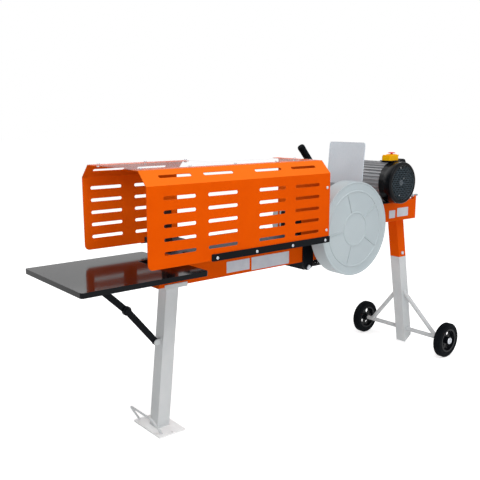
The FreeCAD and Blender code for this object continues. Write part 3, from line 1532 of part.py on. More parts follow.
def make_lever():
    inner = roller_half_width + roller_side_gap
    cheeks = []
    for side in (-1, 1):
        y0, y1 = sorted((side * inner, side * (inner + lever_cheek)))
        cheeks.append(tangent_slab(lever_pivot_x, lever_pivot_z, lever_boss_radius,
                                   roller_x, roller_z, lever_cheek_radius, y0, y1))
    boss_half = roller_window_half_width
    boss = across(lever_boss_radius, lever_pivot_x, lever_pivot_z, -boss_half, boss_half)
    span = math.hypot(lever_end_x - lever_pivot_x, lever_end_z - lever_pivot_z)
    arm = rod(lever_arm_radius, lever_point(0), lever_point(span - lever_grip_round))
    pin = across(roller_pin_radius, roller_x, roller_z, -inner, inner)
    bore = across(lever_pin_radius + fit_gap, lever_pivot_x, lever_pivot_z, -boss_half, boss_half)
    save("lever_arm", joined(boss, arm, pin, *cheeks).cut(bore))
    grip = rod(lever_grip_radius, lever_point(span - lever_grip_length), lever_point(span))
    grip = grip.makeChamfer(lever_grip_round, [edge for edge in grip.Edges if edge.isClosed()])
    hole = rod(lever_arm_radius + fit_gap, lever_point(0), lever_point(span - lever_grip_round + fit_gap))
    save("lever_grip", grip.cut(hole))
    save("press_roller", ring(roller_radius, roller_pin_radius + fit_gap,
                              V(roller_x, -roller_half_width, roller_z),
                              V(roller_x, roller_half_width, roller_z)))
    ear_in = roller_window_half_width + side_gap
    ear_out = ear_in + bracket_ear_thickness
    half = bracket_ear_length / 2
    z0 = housing_top_z
    ear = joined(box(lever_pivot_x - half, lever_pivot_x + half, ear_in, ear_out, z0, lever_pivot_z),
                 across(half, lever_pivot_x, lever_pivot_z, ear_in, ear_out),
                 box(lever_pivot_x - half, lever_pivot_x + half, ear_in, ear_out + bracket_foot,
                     z0, z0 + bracket_ear_thickness))
    ear = ear.cut(across(lever_pin_radius, lever_pivot_x, lever_pivot_z, ear_in - overrun,
                         ear_out + overrun))
    pin = across(lever_pin_radius, lever_pivot_x, lever_pivot_z, -lever_pin_half, lever_pin_half)
    save("lever_brackets", ear, mirrored(ear), pin)


# Shield between the log chamber and the motor
def make_shield():
    n, w = shield_neck_half_width, shield_half_width
    h, k = shield_height, shield_neck_height
    outline = [(-n, 0), (n, 0), (n, k), (w, k), (w, h), (-w, h), (-w, k), (-n, k)]
    radii = [0, 0, 0, shield_corner, shield_corner, shield_corner, shield_corner, 0]
    plate = slab_x(outline, 0, shield_sheet, radii)
    plate.rotate(V(0, 0, 0), along_y, shield_lean)
    plate.translate(V(shield_x, 0, housing_top_z))
    foot = box(shield_x, shield_x + shield_foot, -n, n, housing_top_z, housing_top_z + shield_sheet)
    low = box(shield_x - shield_foot, shield_x + shield_foot, -w, w,
              housing_top_z - shield_foot, housing_top_z)
    save("motor_shield", joined(plate, foot).cut(low))


# Return spring: one round wire wound as a helix, with straight ends on its seats
def biarc(p0, t0, p1, t1):
    v = p1 - p0
    t = t0 + t1
    a = 2 * (1 - t0.dot(t1))
    b = v.dot(t)
    d = (-b + math.sqrt(b * b + a * v.dot(v))) / a
    q0, q1 = p0 + t0 * d, p1 - t1 * d
    joint = (q0 + q1) / 2
    return [tangent_arc(p0, q0, joint), tangent_arc(joint, q1, p1)]


def tangent_arc(start, corner, end):
    chord_mid = (start + end) / 2
    rise = corner - chord_mid
    angle = math.atan2(rise.Length, (chord_mid - start).Length)
    middle = chord_mid + rise * (math.tan(angle / 2) / math.tan(angle))
    return Part.Arc(start, middle, end).toShape()


def make_spring():
    half = slide_block_length / 2
    x0 = carriage_mid_x + half + spring_hook_length + spring_seat_thickness + seat_gap
    x1 = spring_anchor_x - seat_gap
    wire = spring_wire_radius * 2
    lead = wire + spring_lead_run
    start_x, end_x = x0 + lead, x1 - lead
    pitch = (end_x - start_x) / spring_turns
    r = spring_mean_radius

    def at(angle):
        return V(start_x + pitch * angle / (2 * math.pi), r * math.cos(angle),
                 spring_z + r * math.sin(angle))

    def way(angle):
        return V(pitch / (2 * math.pi), -r * math.sin(angle), r * math.cos(angle)).normalize()
    last = 2 * math.pi * spring_turns
    first_foot = at(0) - way(0) * spring_lead_side
    first_foot.x = x0 + wire
    last_foot = at(last) + way(last) * spring_lead_side
    last_foot.x = x1 - wire
    edges = [Part.makeLine(first_foot - along_x * wire, first_foot)]
    edges += biarc(first_foot, along_x, at(0), way(0))
    for i in range(spring_turns * 2):
        a, b = math.pi * i, math.pi * (i + 1)
        edges += biarc(at(a), way(a), at(b), way(b))
    edges += biarc(at(last), way(last), last_foot, along_x)
    edges.append(Part.makeLine(last_foot, last_foot + along_x * wire))
    section = Part.Wire(Part.makeCircle(spring_wire_radius, first_foot - along_x * wire, along_x))
    tube = Part.Wire(edges).makePipeShell([section], True, False)
    fine = spring_turn_steps
    steps = [at(2 * math.pi * i / fine) for i in range(spring_turns * fine + 1)]
    gap = min((p - q).Length for i, p in enumerate(steps[:fine * 2])
              for q in steps[i + fine // 2:i + fine * 2]) - wire
    print("spring: valid", tube.isValid(), "volume", round(tube.Volume),
          "section times length", round(math.pi * spring_wire_radius ** 2 * Part.Wire(edges).Length),
          "pitch", round(pitch, 2), "least gap", round(gap, 2))
    save("return_spring", tube)


make_main_beam()
make_rack_housing()
make_rack_guides()
make_wedge()
make_guard_panels()
make_screws()
make_rear_wall()
make_clear_sheet()
make_trays()
make_rails()
make_tray_brackets()
make_front_leg()
make_foot()
make_table()
make_table_hinge()
make_stay()
leg_bolt = make_rear_leg()
wheel_caps = make_wheels()
make_carriage()
make_rack()
make_pinion_shaft()
make_bearings()
make_flywheel()
make_belt_drive()
save("cover_back_plates", make_drum(), make_belt_guard())
make_motor()
make_capacitor()
make_fan()
save("frame_fasteners", leg_bolt, make_motor_base(), *wheel_caps)
make_switch()
make_switch_lid()
make_lever()
make_shield()
make_spring()
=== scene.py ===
import bmesh
import bpy
import math
from mathutils import Matrix, Vector


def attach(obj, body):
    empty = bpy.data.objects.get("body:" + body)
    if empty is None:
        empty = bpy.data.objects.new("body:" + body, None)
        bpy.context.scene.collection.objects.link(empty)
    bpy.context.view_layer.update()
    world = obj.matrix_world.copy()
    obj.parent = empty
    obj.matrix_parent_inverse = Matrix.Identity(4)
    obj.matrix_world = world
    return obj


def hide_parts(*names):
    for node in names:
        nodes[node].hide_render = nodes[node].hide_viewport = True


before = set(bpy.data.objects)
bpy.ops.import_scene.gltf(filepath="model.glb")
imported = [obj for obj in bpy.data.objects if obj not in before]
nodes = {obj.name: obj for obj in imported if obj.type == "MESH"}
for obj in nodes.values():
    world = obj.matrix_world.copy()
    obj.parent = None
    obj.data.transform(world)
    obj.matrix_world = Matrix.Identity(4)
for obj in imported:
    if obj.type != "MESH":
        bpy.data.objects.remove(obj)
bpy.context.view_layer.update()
print("frame loaded:", len(nodes), "nodes")


# Small helpers for colours and shader nodes

def tint(levels):
    # 8-bit screen levels to a linear colour
    def linear(share):
        return share / 12.92 if share <= 0.04045 else ((share + 0.055) / 1.055) ** 2.4
    return tuple(linear(level / 255) for level in levels) + (1.0,)


def feed(tree, node, inputs):
    # links what comes from another node and sets what is a plain value
    for key, value in inputs.items():
        if hasattr(value, "is_output"):
            tree.links.new(value, node.inputs[key])
        else:
            node.inputs[key].default_value = value
    return node


def knot(tree, kind, inputs=None, **settings):
    node = tree.nodes.new(kind)
    for key, value in settings.items():
        setattr(node, key, value)
    return feed(tree, node, inputs or {})


def put(tree, kind, inputs=None, **settings):
    return knot(tree, "ShaderNode" + kind, inputs, **settings)


def maths(tree, operation, first, second=None):
    values = {0: first} if second is None else {0: first, 1: second}
    return put(tree, "Math", values, operation=operation).outputs[0]


def place(tree, stretch=(1, 1, 1)):
    coords = put(tree, "TexCoord")
    return put(tree, "Mapping", {"Vector": coords.outputs["Object"], "Scale": stretch}).outputs["Vector"]


def noise(tree, where, scale, detail, rough):
    return put(tree, "TexNoise", {"Vector": where, "Scale": scale, "Detail": detail,
                                  "Roughness": rough}).outputs["Fac"]


def spread(tree, value, low, high, newLow=0.0, newHigh=1.0):
    return put(tree, "MapRange", {"Value": value, "From Min": low, "From Max": high,
                                  "To Min": newLow, "To Max": newHigh}).outputs["Result"]


def blendColour(tree, share, first, second):
    return put(tree, "Mix", {0: share, 6: first, 7: second}, data_type="RGBA").outputs[2]


def times(tree, first, second):
    return maths(tree, "MULTIPLY", first, second)


def edgeShare(tree, radius, low, high):
    # 1 along the outer edges of a shape, 0 on its flats
    soft = put(tree, "Bevel", {"Radius": radius}, samples=surfaceSettings["bevelSamples"])
    real = put(tree, "NewGeometry")
    turn = put(tree, "VectorMath", {0: soft.outputs["Normal"], 1: real.outputs["Normal"]},
               operation="DOT_PRODUCT")
    return spread(tree, turn.outputs["Value"], high, low)


def zoneShare(tree, zone):
    # 1 above a level, or within a radius of an axis that runs along Y
    parts = put(tree, "SeparateXYZ", {0: put(tree, "TexCoord").outputs["Object"]})
    if "level" in zone:
        return maths(tree, "GREATER_THAN", parts.outputs["Z"], zone["level"])
    flat = put(tree, "CombineXYZ", {"X": parts.outputs["X"], "Z": parts.outputs["Z"]})
    reach = put(tree, "VectorMath", {0: flat.outputs[0], 1: (zone["centre"][0], 0, zone["centre"][1])},
                operation="DISTANCE")
    return maths(tree, "LESS_THAN", reach.outputs["Value"], zone["radius"])


def newFinish(name):
    finish = bpy.data.materials.new(name)
    finish.use_nodes = True
    return finish, finish.node_tree, finish.node_tree.nodes["Principled BSDF"]


surfaceSettings = {"patchNoise": (4.0, 0.6), "patchRange": (0.35, 0.7), "speckNoise": (2.0, 0.7),
                   "speckRange": (0.55, 0.75), "edgeRange": (0.80, 0.995), "wearAndHighlightRange": (0.42, 0.6),
                   "glossRange": (0.3, 0.7), "grainNoise": (2.0, 0.55), "bevelSamples": 4}
commonLook = {"stretch": (1, 1, 1), "edgeShare": 0.5, "edgeRadius": 0.0, "grainDepth": 0.0004,
              "metallic": 0.0, "shine": 0.5}


def surface(name, look):
    # one opaque finish: patches, specks, worn edges that also carry a painted highlight along edges and
    # folds, grain and uneven gloss
    s, look = surfaceSettings, dict(commonLook, **look)
    finish, tree, shader = newFinish(name)
    where = place(tree, look["stretch"])
    patches = noise(tree, where, look["patchScale"], *s["patchNoise"])
    share = spread(tree, patches, *s["patchRange"])
    colour = blendColour(tree, share, tint(look["colour"]), tint(look["patch"]))
    specks = noise(tree, where, look["speckScale"], *s["speckNoise"])
    share = times(tree, spread(tree, specks, *s["speckRange"]), look["speckShare"])
    colour = blendColour(tree, share, colour, tint(look["speck"]))
    # edge colour: partly wear on the edges, partly a painted highlight along edges and folds
    if look["edgeRadius"] > 0:
        edges = edgeShare(tree, look["edgeRadius"], *s["edgeRange"])
        wearAndHighlight = times(tree, edges, spread(tree, patches, *s["wearAndHighlightRange"]))
        colour = blendColour(tree, times(tree, wearAndHighlight, look["edgeShare"]), colour, tint(look["edge"]))
    # a zone in a second colour: the beam's top, and painted highlights on the near panel's bevel and the fan
    # cover's grille
    if "zone" in look:
        colour = blendColour(tree, zoneShare(tree, look["zone"]), colour, tint(look["zone"]["colour"]))
    grain = noise(tree, where, look["grainScale"], *s["grainNoise"])
    bump = put(tree, "Bump", {"Height": grain, "Strength": look["grainStrength"],
                              "Distance": look["grainDepth"]})
    if look["edgeRadius"] > 0:
        soft = put(tree, "Bevel", {"Radius": look["edgeRadius"]}, samples=s["bevelSamples"])
        tree.links.new(soft.outputs["Normal"], bump.inputs["Normal"])
    feed(tree, shader, {
        "Base Color": colour, "Roughness": spread(tree, specks, *s["glossRange"], *look["rough"]),
        "Normal": bump.outputs["Normal"], "Metallic": look["metallic"], "Specular IOR Level": look["shine"]})
    return finish


clearSettings = {"scratchNoise": (3.0, 0.7), "scratchRange": (0.4, 0.75), "hazeNoise": (2.0, 0.5),
                 "hazeRange": (0.35, 0.7), "alphaRange": (0.3, 0.7), "bumpStrength": 0.08,
                 "bumpDepth": 0.0004}


def seeThrough(name, look):
    # a clear or frosted sheet: fine scratches along one way, and an uneven haze
    s = clearSettings
    finish, tree, shader = newFinish(name)
    where = place(tree)
    scratches = noise(tree, place(tree, look["scratchStretch"]), look["scratchScale"], *s["scratchNoise"])
    haze = noise(tree, where, look["hazeScale"], *s["hazeNoise"])
    share = spread(tree, haze, *s["hazeRange"])
    colour = blendColour(tree, share, tint(look["colour"]), tint(look["patch"]))
    bump = put(tree, "Bump", {"Height": scratches, "Strength": s["bumpStrength"], "Distance": s["bumpDepth"]})
    feed(tree, shader, {
        "Base Color": colour, "Roughness": spread(tree, scratches, *s["scratchRange"], *look["rough"]),
        "Alpha": spread(tree, haze, *s["alphaRange"], *look["alpha"]), "Normal": bump.outputs["Normal"],
        "Specular IOR Level": look["shine"]})
    return finish


# In these looks the edge colour is partly wear and partly a painted highlight along edges and folds
finishLooks = {
    # the light orange edge colour here is a painted highlight along the folds
    "orangePaint": dict(
        colour=(228, 86, 0), patch=(220, 79, 0), patchScale=5.0, speck=(240, 104, 14), speckScale=900,
        speckShare=0.1, edge=(255, 150, 70), edgeShare=0.55, edgeRadius=0.0016, rough=(0.34, 0.46),
        grainScale=700, grainStrength=0.1, shine=0.02),
    "whitePaint": dict(
        colour=(212, 214, 215), patch=(200, 204, 206), patchScale=6.0, speck=(236, 238, 238),
        speckScale=700, speckShare=0.15, edge=(244, 246, 246), edgeRadius=0.002, rough=(0.34, 0.48),
        grainScale=600, grainStrength=0.12, shine=0.25),
    "paleGreyPaint": dict(
        colour=(182, 193, 197), patch=(173, 184, 189), patchScale=4.0, speck=(206, 216, 218),
        speckScale=650, speckShare=0.15, edge=(226, 230, 230), edgeShare=0.55, edgeRadius=0.002,
        rough=(0.36, 0.5), grainScale=500, grainStrength=0.12, shine=0.25),
    "blackPaint": dict(
        colour=(9, 12, 16), patch=(14, 17, 22), patchScale=7.0, speck=(38, 42, 48), speckScale=800,
        speckShare=0.18, edge=(96, 100, 106), edgeShare=0.3, edgeRadius=0.0014, rough=(0.24, 0.36),
        grainScale=650, grainStrength=0.1, shine=0.06),
    "tablePaint": dict(
        colour=(7, 9, 13), patch=(12, 14, 18), patchScale=3.0, speck=(22, 24, 28), speckScale=500,
        speckShare=0.12, edge=(36, 42, 50), edgeShare=0.25, edgeRadius=0.002, rough=(0.08, 0.15),
        grainScale=380, grainStrength=0.04, shine=0.1),
    "labelFilm": dict(
        colour=(204, 205, 212), patch=(192, 194, 204), patchScale=30.0, speck=(226, 226, 230),
        speckScale=900, speckShare=0.15, rough=(0.28, 0.38), grainScale=900, grainStrength=0.05,
        grainDepth=0.0001, shine=0.25),
    "wedgePaint": dict(
        colour=(44, 38, 36), patch=(58, 48, 44), patchScale=9.0, speck=(90, 82, 78), speckScale=420,
        speckShare=0.25, edge=(170, 168, 166), edgeShare=0.6, edgeRadius=0.0012, rough=(0.3, 0.44),
        grainScale=420, grainStrength=0.15, shine=0.2),
    "zincPlate": dict(
        colour=(196, 198, 202), patch=(176, 182, 192), patchScale=40.0, speck=(216, 210, 188),
        speckScale=300, speckShare=0.35, edge=(240, 240, 240), edgeRadius=0.0006, rough=(0.24, 0.4),
        grainScale=900, grainStrength=0.12, grainDepth=0.0002, metallic=1.0),
    "machinedSteel": dict(
        colour=(150, 154, 160), patch=(124, 128, 134), patchScale=12.0, speck=(190, 192, 196),
        speckScale=420, speckShare=0.35, edge=(225, 226, 230), edgeRadius=0.0008, stretch=(0.12, 1, 1),
        rough=(0.26, 0.44), grainScale=500, grainStrength=0.15, grainDepth=0.0003, metallic=1.0),
    "traySteel": dict(
        colour=(66, 72, 80), patch=(54, 60, 68), patchScale=9.0, speck=(84, 90, 97), speckScale=300,
        speckShare=0.3, edge=(110, 116, 122), edgeRadius=0.0012, stretch=(0.2, 1, 1), rough=(0.5, 0.66),
        grainScale=420, grainStrength=0.15, grainDepth=0.0003, shine=0.05),
    # a brighter copy of the white paint for the foot plate: painted light on the foot, with grey edges
    "footPaintedLight": dict(
        colour=(255, 255, 255), patch=(252, 252, 252), patchScale=7.0, speck=(250, 250, 250),
        speckScale=700, speckShare=0.15, edge=(206, 210, 212), edgeShare=0.4, edgeRadius=0.0016,
        rough=(0.36, 0.5), grainScale=600, grainStrength=0.12, shine=0.25),
    "castIron": dict(
        colour=(58, 60, 64), patch=(46, 47, 50), patchScale=16.0, speck=(88, 90, 92), speckScale=260,
        speckShare=0.4, edge=(140, 142, 146), edgeRadius=0.0014, rough=(0.45, 0.62), grainScale=240,
        grainStrength=0.35, grainDepth=0.0008, metallic=0.5),
    "castAluminium": dict(
        colour=(181, 181, 183), patch=(167, 168, 171), patchScale=14.0, speck=(186, 186, 184),
        speckScale=420, speckShare=0.4, edge=(212, 212, 210), edgeRadius=0.001, rough=(0.42, 0.58),
        grainScale=520, grainStrength=0.28, grainDepth=0.0005, metallic=0.45),
    "blackPlastic": dict(
        colour=(11, 13, 16), patch=(17, 19, 22), patchScale=12.0, speck=(36, 38, 42), speckScale=1400,
        speckShare=0.3, edge=(64, 68, 74), edgeShare=0.35, edgeRadius=0.0012, rough=(0.34, 0.46),
        grainScale=1300, grainStrength=0.25, grainDepth=0.0003, shine=0.2),
    "blackRubber": dict(
        colour=(6, 9, 13), patch=(11, 15, 19), patchScale=18.0, speck=(44, 48, 52), speckScale=500,
        speckShare=0.3, edge=(58, 60, 64), edgeShare=0.3, edgeRadius=0.0016, rough=(0.55, 0.72),
        grainScale=700, grainStrength=0.3, shine=0.04),
    "yellowPlastic": dict(
        colour=(254, 190, 0), patch=(248, 180, 0), patchScale=20.0, speck=(252, 208, 50), speckScale=1500,
        speckShare=0.25, edge=(255, 222, 110), edgeShare=0.4, edgeRadius=0.0008, rough=(0.3, 0.42),
        grainScale=1400, grainStrength=0.18, grainDepth=0.0002, shine=0.06),
    "redPlastic": dict(
        colour=(230, 50, 26), patch=(220, 42, 22), patchScale=24.0, speck=(230, 70, 56), speckScale=1500,
        speckShare=0.2, edge=(240, 110, 96), edgeShare=0.4, edgeRadius=0.0008, rough=(0.26, 0.38),
        grainScale=1400, grainStrength=0.15, grainDepth=0.0002, shine=0.08),
    "greenPlastic": dict(
        colour=(30, 132, 64), patch=(24, 118, 56), patchScale=24.0, speck=(60, 160, 92), speckScale=1500,
        speckShare=0.2, edge=(110, 190, 136), edgeShare=0.4, edgeRadius=0.0006, rough=(0.26, 0.38),
        grainScale=1400, grainStrength=0.15, grainDepth=0.0002, shine=0.08),
}
# a lighter copy of the orange paint for the inside of the guard: painted light
finishLooks["orangeInsidePaintedLight"] = dict(finishLooks["orangePaint"], colour=(252, 104, 12), patch=(246, 96, 8))
finishLooks["beamPaint"] = dict(finishLooks["orangePaint"], zone={"level": 0.6305, "colour": (72, 84, 98)})
# the near panel's top bevel, above this level, is a lighter orange: a painted highlight
finishLooks["panelPaintBevelHighlight"] = dict(finishLooks["orangePaint"], zone={"level": 0.8885, "colour": (244, 112, 26)})
finishLooks["hubPaint"] = dict(finishLooks["blackPaint"], shine=0.12, rough=(0.16, 0.26))
# the cooling fan is darker than the other black plastic so the grille's holes look dark: painted shade in the
# holes
finishLooks["fanPlasticHoleShade"] = dict(finishLooks["blackPlastic"], colour=(3, 4, 5), patch=(5, 6, 8),
                                 speckShare=0.1, edge=(14, 15, 17), shine=0.02)
# the grille inside this radius is a lighter grey: a painted highlight on the black honeycomb bars
finishLooks["coverPlasticGrilleHighlight"] = dict(
    finishLooks["blackPlastic"], shine=0.08, rough=(0.14, 0.22),
    zone={"centre": (1.159, 0.815), "radius": 0.0738, "colour": (78, 90, 98)})
clearLooks = {
    "clearSheet": dict(
        colour=(238, 242, 246), patch=(228, 234, 240), hazeScale=6.0, scratchScale=60.0,
        scratchStretch=(1, 12, 1), rough=(0.04, 0.14), alpha=(0.1, 0.2), shine=0.5),
    "frostedShield": dict(
        colour=(228, 238, 246), patch=(214, 224, 232), hazeScale=5.0, scratchScale=80.0,
        scratchStretch=(1, 10, 1), rough=(0.22, 0.38), alpha=(0.8, 0.88), shine=0.4),
}
finishes = {name: surface(name, look) for name, look in finishLooks.items()}
finishes.update({name: seeThrough(name, look) for name, look in clearLooks.items()})
print("finishes made:", len(finishes))


# Which finish each CAD node wears

finishOfNode = {
    "beamPaint": ["main_beam"],
    "orangePaint": ["rack_housing", "rear_leg_socket"],
    "panelPaintBevelHighlight": ["guard_panel_near"],
    "orangeInsidePaintedLight": ["guard_panel_far", "rear_guard_wall"],
    "hubPaint": ["near_wheel_hub", "far_wheel_hub"],
    "whitePaint": ["front_leg", "foot_step_bar", "rear_leg", "wheel_axle"],
    "footPaintedLight": ["front_foot_plate"],
    "paleGreyPaint": ["drum_cover", "cover_back_plates", "belt_guard_cover"],
    "blackPaint": ["guard_rails", "tray_brackets", "stay_upper_bar", "stay_lower_bar", "lever_arm",
                   "lever_brackets", "motor_base_plate", "switch_mount_box", "pusher_plate",
                   "pusher_carriage", "table_hinge", "run_capacitor", "return_spring"],
    "wedgePaint": ["splitting_wedge"],
    "tablePaint": ["table_top"],
    "zincPlate": ["guard_screws", "frame_fasteners", "carriage_bolt"],
    "machinedSteel": ["toothed_rack", "pinion_shaft", "press_roller", "motor_rotor", "rack_guides"],
    "traySteel": ["log_tray_near", "log_tray_far"],
    "castIron": ["flywheel", "flywheel_pulley", "motor_pulley", "pinion_bearings"],
    "castAluminium": ["motor_housing", "motor_end_bell"],
    "blackPlastic": ["motor_fan_cover", "lever_grip"],
    "fanPlasticHoleShade": ["cooling_fan"],
    "blackRubber": ["near_wheel_tyre", "far_wheel_tyre", "drive_belt"],
    "yellowPlastic": ["switch_housing", "switch_lid"],
    "redPlastic": ["stop_button", "off_button"],
    "greenPlastic": ["start_button"],
    "clearSheet": ["clear_top_sheet"],
    "frostedShield": ["motor_shield"],
}
for finishName, nodeNames in finishOfNode.items():
    for nodeName in nodeNames:
        part = nodes[nodeName]
        if not part.material_slots:
            part.data.materials.append(finishes[finishName])
        for slot in part.material_slots:
            slot.material = finishes[finishName]
leftOver = sorted(set(nodes) - {n for group in finishOfNode.values() for n in group})
print("nodes dressed:", len(nodes) - len(leftOver), "left over:", leftOver)


# Mesh helpers

closeEnough = 1e-6


def addObject(name, data):
    thing = bpy.data.objects.new(name, data)
    bpy.context.scene.collection.objects.link(thing)
    return thing


def newPiece(name, mesh, finishName, body):
    piece = addObject(name, mesh)
    if not len(mesh.materials):
        mesh.materials.append(finishes[finishName])
    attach(piece, body)
    return piece


def addMeshes(target, extras):
    # takes further meshes into the first one
    form = bmesh.new()
    for mesh in [target] + extras:
        form.from_mesh(mesh)
    form.to_mesh(target)
    form.free()


def meshFrom(name, verts, faces, smooth=True):
    mesh = bpy.data.meshes.new(name)
    mesh.from_pydata([tuple(v) for v in verts], [], faces)
    form = bmesh.new()
    form.from_mesh(mesh)
    bmesh.ops.remove_doubles(form, verts=form.verts, dist=closeEnough)
    bmesh.ops.recalc_face_normals(form, faces=form.faces)
    for face in form.faces:
        face.smooth = smooth
    form.to_mesh(mesh)
    form.free()
    return mesh


def turnedMesh(name, profile, steps, centre):
    # revolves a closed outline of (radius, y) points about the Y axis through centre
    verts, faces = [], []
    rows = len(profile)
    for step in range(steps):
        angle = 2 * math.pi * step / steps
        for radius, y in profile:
            verts.append((centre[0] + radius * math.cos(angle), y, centre[1] + radius * math.sin(angle)))
    for step in range(steps):
        other = (step + 1) % steps
        for row in range(rows):
            up = (row + 1) % rows
            faces.append((step * rows + row, other * rows + row, other * rows + up, step * rows + up))
    return meshFrom(name, verts, faces)


def hexReach(radius, angle):
    # distance from a hexagon's middle to its flats
    return radius * math.cos(math.pi / 6) / math.cos((angle % (math.pi / 3)) - math.pi / 6)


def roundedOutline(points, radius, parts=4, longestShare=0.45):
    # rounds the corners of a closed flat outline
    outline = []
    count = len(points)
    for i in range(count):
        here, before, after = (Vector(points[k % count]) for k in (i, i - 1, i + 1))
        toBefore, toAfter = (before - here), (after - here)
        cut = min(radius, toBefore.length * longestShare, toAfter.length * longestShare)
        start, end = here + toBefore.normalized() * cut, here + toAfter.normalized() * cut
        for k in range(parts + 1):
            share = k / parts
            outline.append(tuple(start * (1 - share) ** 2 + here * 2 * share * (1 - share)
                                 + end * share ** 2))
    return outline


# Geometry Nodes trees, built once and used by many pieces

def newTree(name, wanted):
    tree = bpy.data.node_groups.new(name, "GeometryNodeTree")
    face = tree.interface
    face.new_socket(name="Geometry", in_out="INPUT", socket_type="NodeSocketGeometry")
    for label, kind, value in wanted:
        socket = face.new_socket(name=label, in_out="INPUT", socket_type="NodeSocket" + kind)
        if value is not None:
            socket.default_value = value
    face.new_socket(name="Geometry", in_out="OUTPUT", socket_type="NodeSocketGeometry")
    return tree, tree.nodes.new("NodeGroupInput"), tree.nodes.new("NodeGroupOutput")


def endTree(tree, start, end, shape):
    whole = knot(tree, "GeometryNodeRealizeInstances", {"Geometry": shape})
    dressed = knot(tree, "GeometryNodeSetMaterial", {
        "Geometry": whole.outputs[0], "Material": start.outputs["Finish"]})
    tree.links.new(dressed.outputs[0], end.inputs[0])


def makePointTree():
    # one item on every point, standing along the point's own "axis", spun by a fixed seed
    tree, start, end = newTree("itemsOnPoints", [
        ("Item", "Object", None), ("Item Size", "Float", 1.0), ("Spin", "Float", 6.28),
        ("Seed", "Int", 3), ("Finish", "Material", None)])
    item = knot(tree, "GeometryNodeObjectInfo", {"Object": start.outputs["Item"]})
    axis = knot(tree, "GeometryNodeInputNamedAttribute", {"Name": "axis"}, data_type="FLOAT_VECTOR")
    aim = knot(tree, "FunctionNodeAlignRotationToVector", {"Vector": axis.outputs[0]}, axis="Z")
    turn = knot(tree, "FunctionNodeRandomValue", {"Seed": start.outputs["Seed"]}, data_type="FLOAT")
    tree.links.new(start.outputs["Spin"], turn.inputs[3])
    spin = knot(tree, "FunctionNodeAxisAngleToRotation", {"Angle": turn.outputs[1]})
    both = knot(tree, "FunctionNodeRotateRotation",
                {"Rotation": aim.outputs[0], "Rotate By": spin.outputs[0]}, rotation_space="LOCAL")
    laid = knot(tree, "GeometryNodeInstanceOnPoints", {
        "Points": start.outputs["Geometry"], "Instance": item.outputs["Geometry"],
        "Rotation": both.outputs[0], "Scale": start.outputs["Item Size"]})
    endTree(tree, start, end, laid.outputs[0])
    return tree


def makePathTree():
    # items at even steps along a path, with a little seeded difference in size
    tree, start, end = newTree("itemsOnPath", [
        ("Item", "Object", None), ("Step", "Float", 0.003), ("Smallest", "Float", 0.9),
        ("Largest", "Float", 1.1), ("Seed", "Int", 5), ("Finish", "Material", None)])
    item = knot(tree, "GeometryNodeObjectInfo", {"Object": start.outputs["Item"]})
    path = knot(tree, "GeometryNodeMeshToCurve", {"Mesh": start.outputs["Geometry"]})
    even = knot(tree, "GeometryNodeResampleCurve",
                {"Curve": path.outputs[0], "Length": start.outputs["Step"]}, mode="LENGTH")
    along = knot(tree, "GeometryNodeInputTangent")
    aim = knot(tree, "FunctionNodeAlignRotationToVector", {"Vector": along.outputs[0]}, axis="X")
    size = knot(tree, "FunctionNodeRandomValue", {"Seed": start.outputs["Seed"]}, data_type="FLOAT")
    tree.links.new(start.outputs["Smallest"], size.inputs[2])
    tree.links.new(start.outputs["Largest"], size.inputs[3])
    laid = knot(tree, "GeometryNodeInstanceOnPoints", {
        "Points": even.outputs[0], "Instance": item.outputs["Geometry"],
        "Rotation": aim.outputs[0], "Scale": size.outputs[1]})
    endTree(tree, start, end, laid.outputs[0])
    return tree


def standUp(tree, shape, centre):
    # turns what lies in the XY plane into the XZ plane and moves it to its centre
    stood = knot(tree, "GeometryNodeTransform", {
        "Geometry": shape, "Rotation": (math.pi / 2, 0, 0), "Translation": centre})
    return stood.outputs[0]


def makeRingTree():
    # items round a circle about the Y axis, pointing outwards, with a start angle
    tree, start, end = newTree("itemsOnRing", [
        ("Item", "Object", None), ("Count", "Int", 24), ("Radius", "Float", 0.08),
        ("Start Angle", "Float", 0.0), ("Centre", "Vector", (0, 0, 0)), ("Finish", "Material", None)])
    item = knot(tree, "GeometryNodeObjectInfo", {"Object": start.outputs["Item"]})
    circle = knot(tree, "GeometryNodeMeshCircle", {"Vertices": start.outputs["Count"],
                                                  "Radius": start.outputs["Radius"]})
    spot = knot(tree, "GeometryNodeInputPosition")
    aim = knot(tree, "FunctionNodeAlignRotationToVector", {"Vector": spot.outputs[0]}, axis="X")
    laid = knot(tree, "GeometryNodeInstanceOnPoints", {
        "Points": circle.outputs[0], "Instance": item.outputs["Geometry"], "Rotation": aim.outputs[0]})
    tilt = put(tree, "CombineXYZ", {"Z": start.outputs["Start Angle"]})
    turned = knot(tree, "GeometryNodeTransform", {"Geometry": laid.outputs[0], "Rotation": tilt.outputs[0]})
    endTree(tree, start, end, standUp(tree, turned.outputs[0], start.outputs["Centre"]))
    return tree


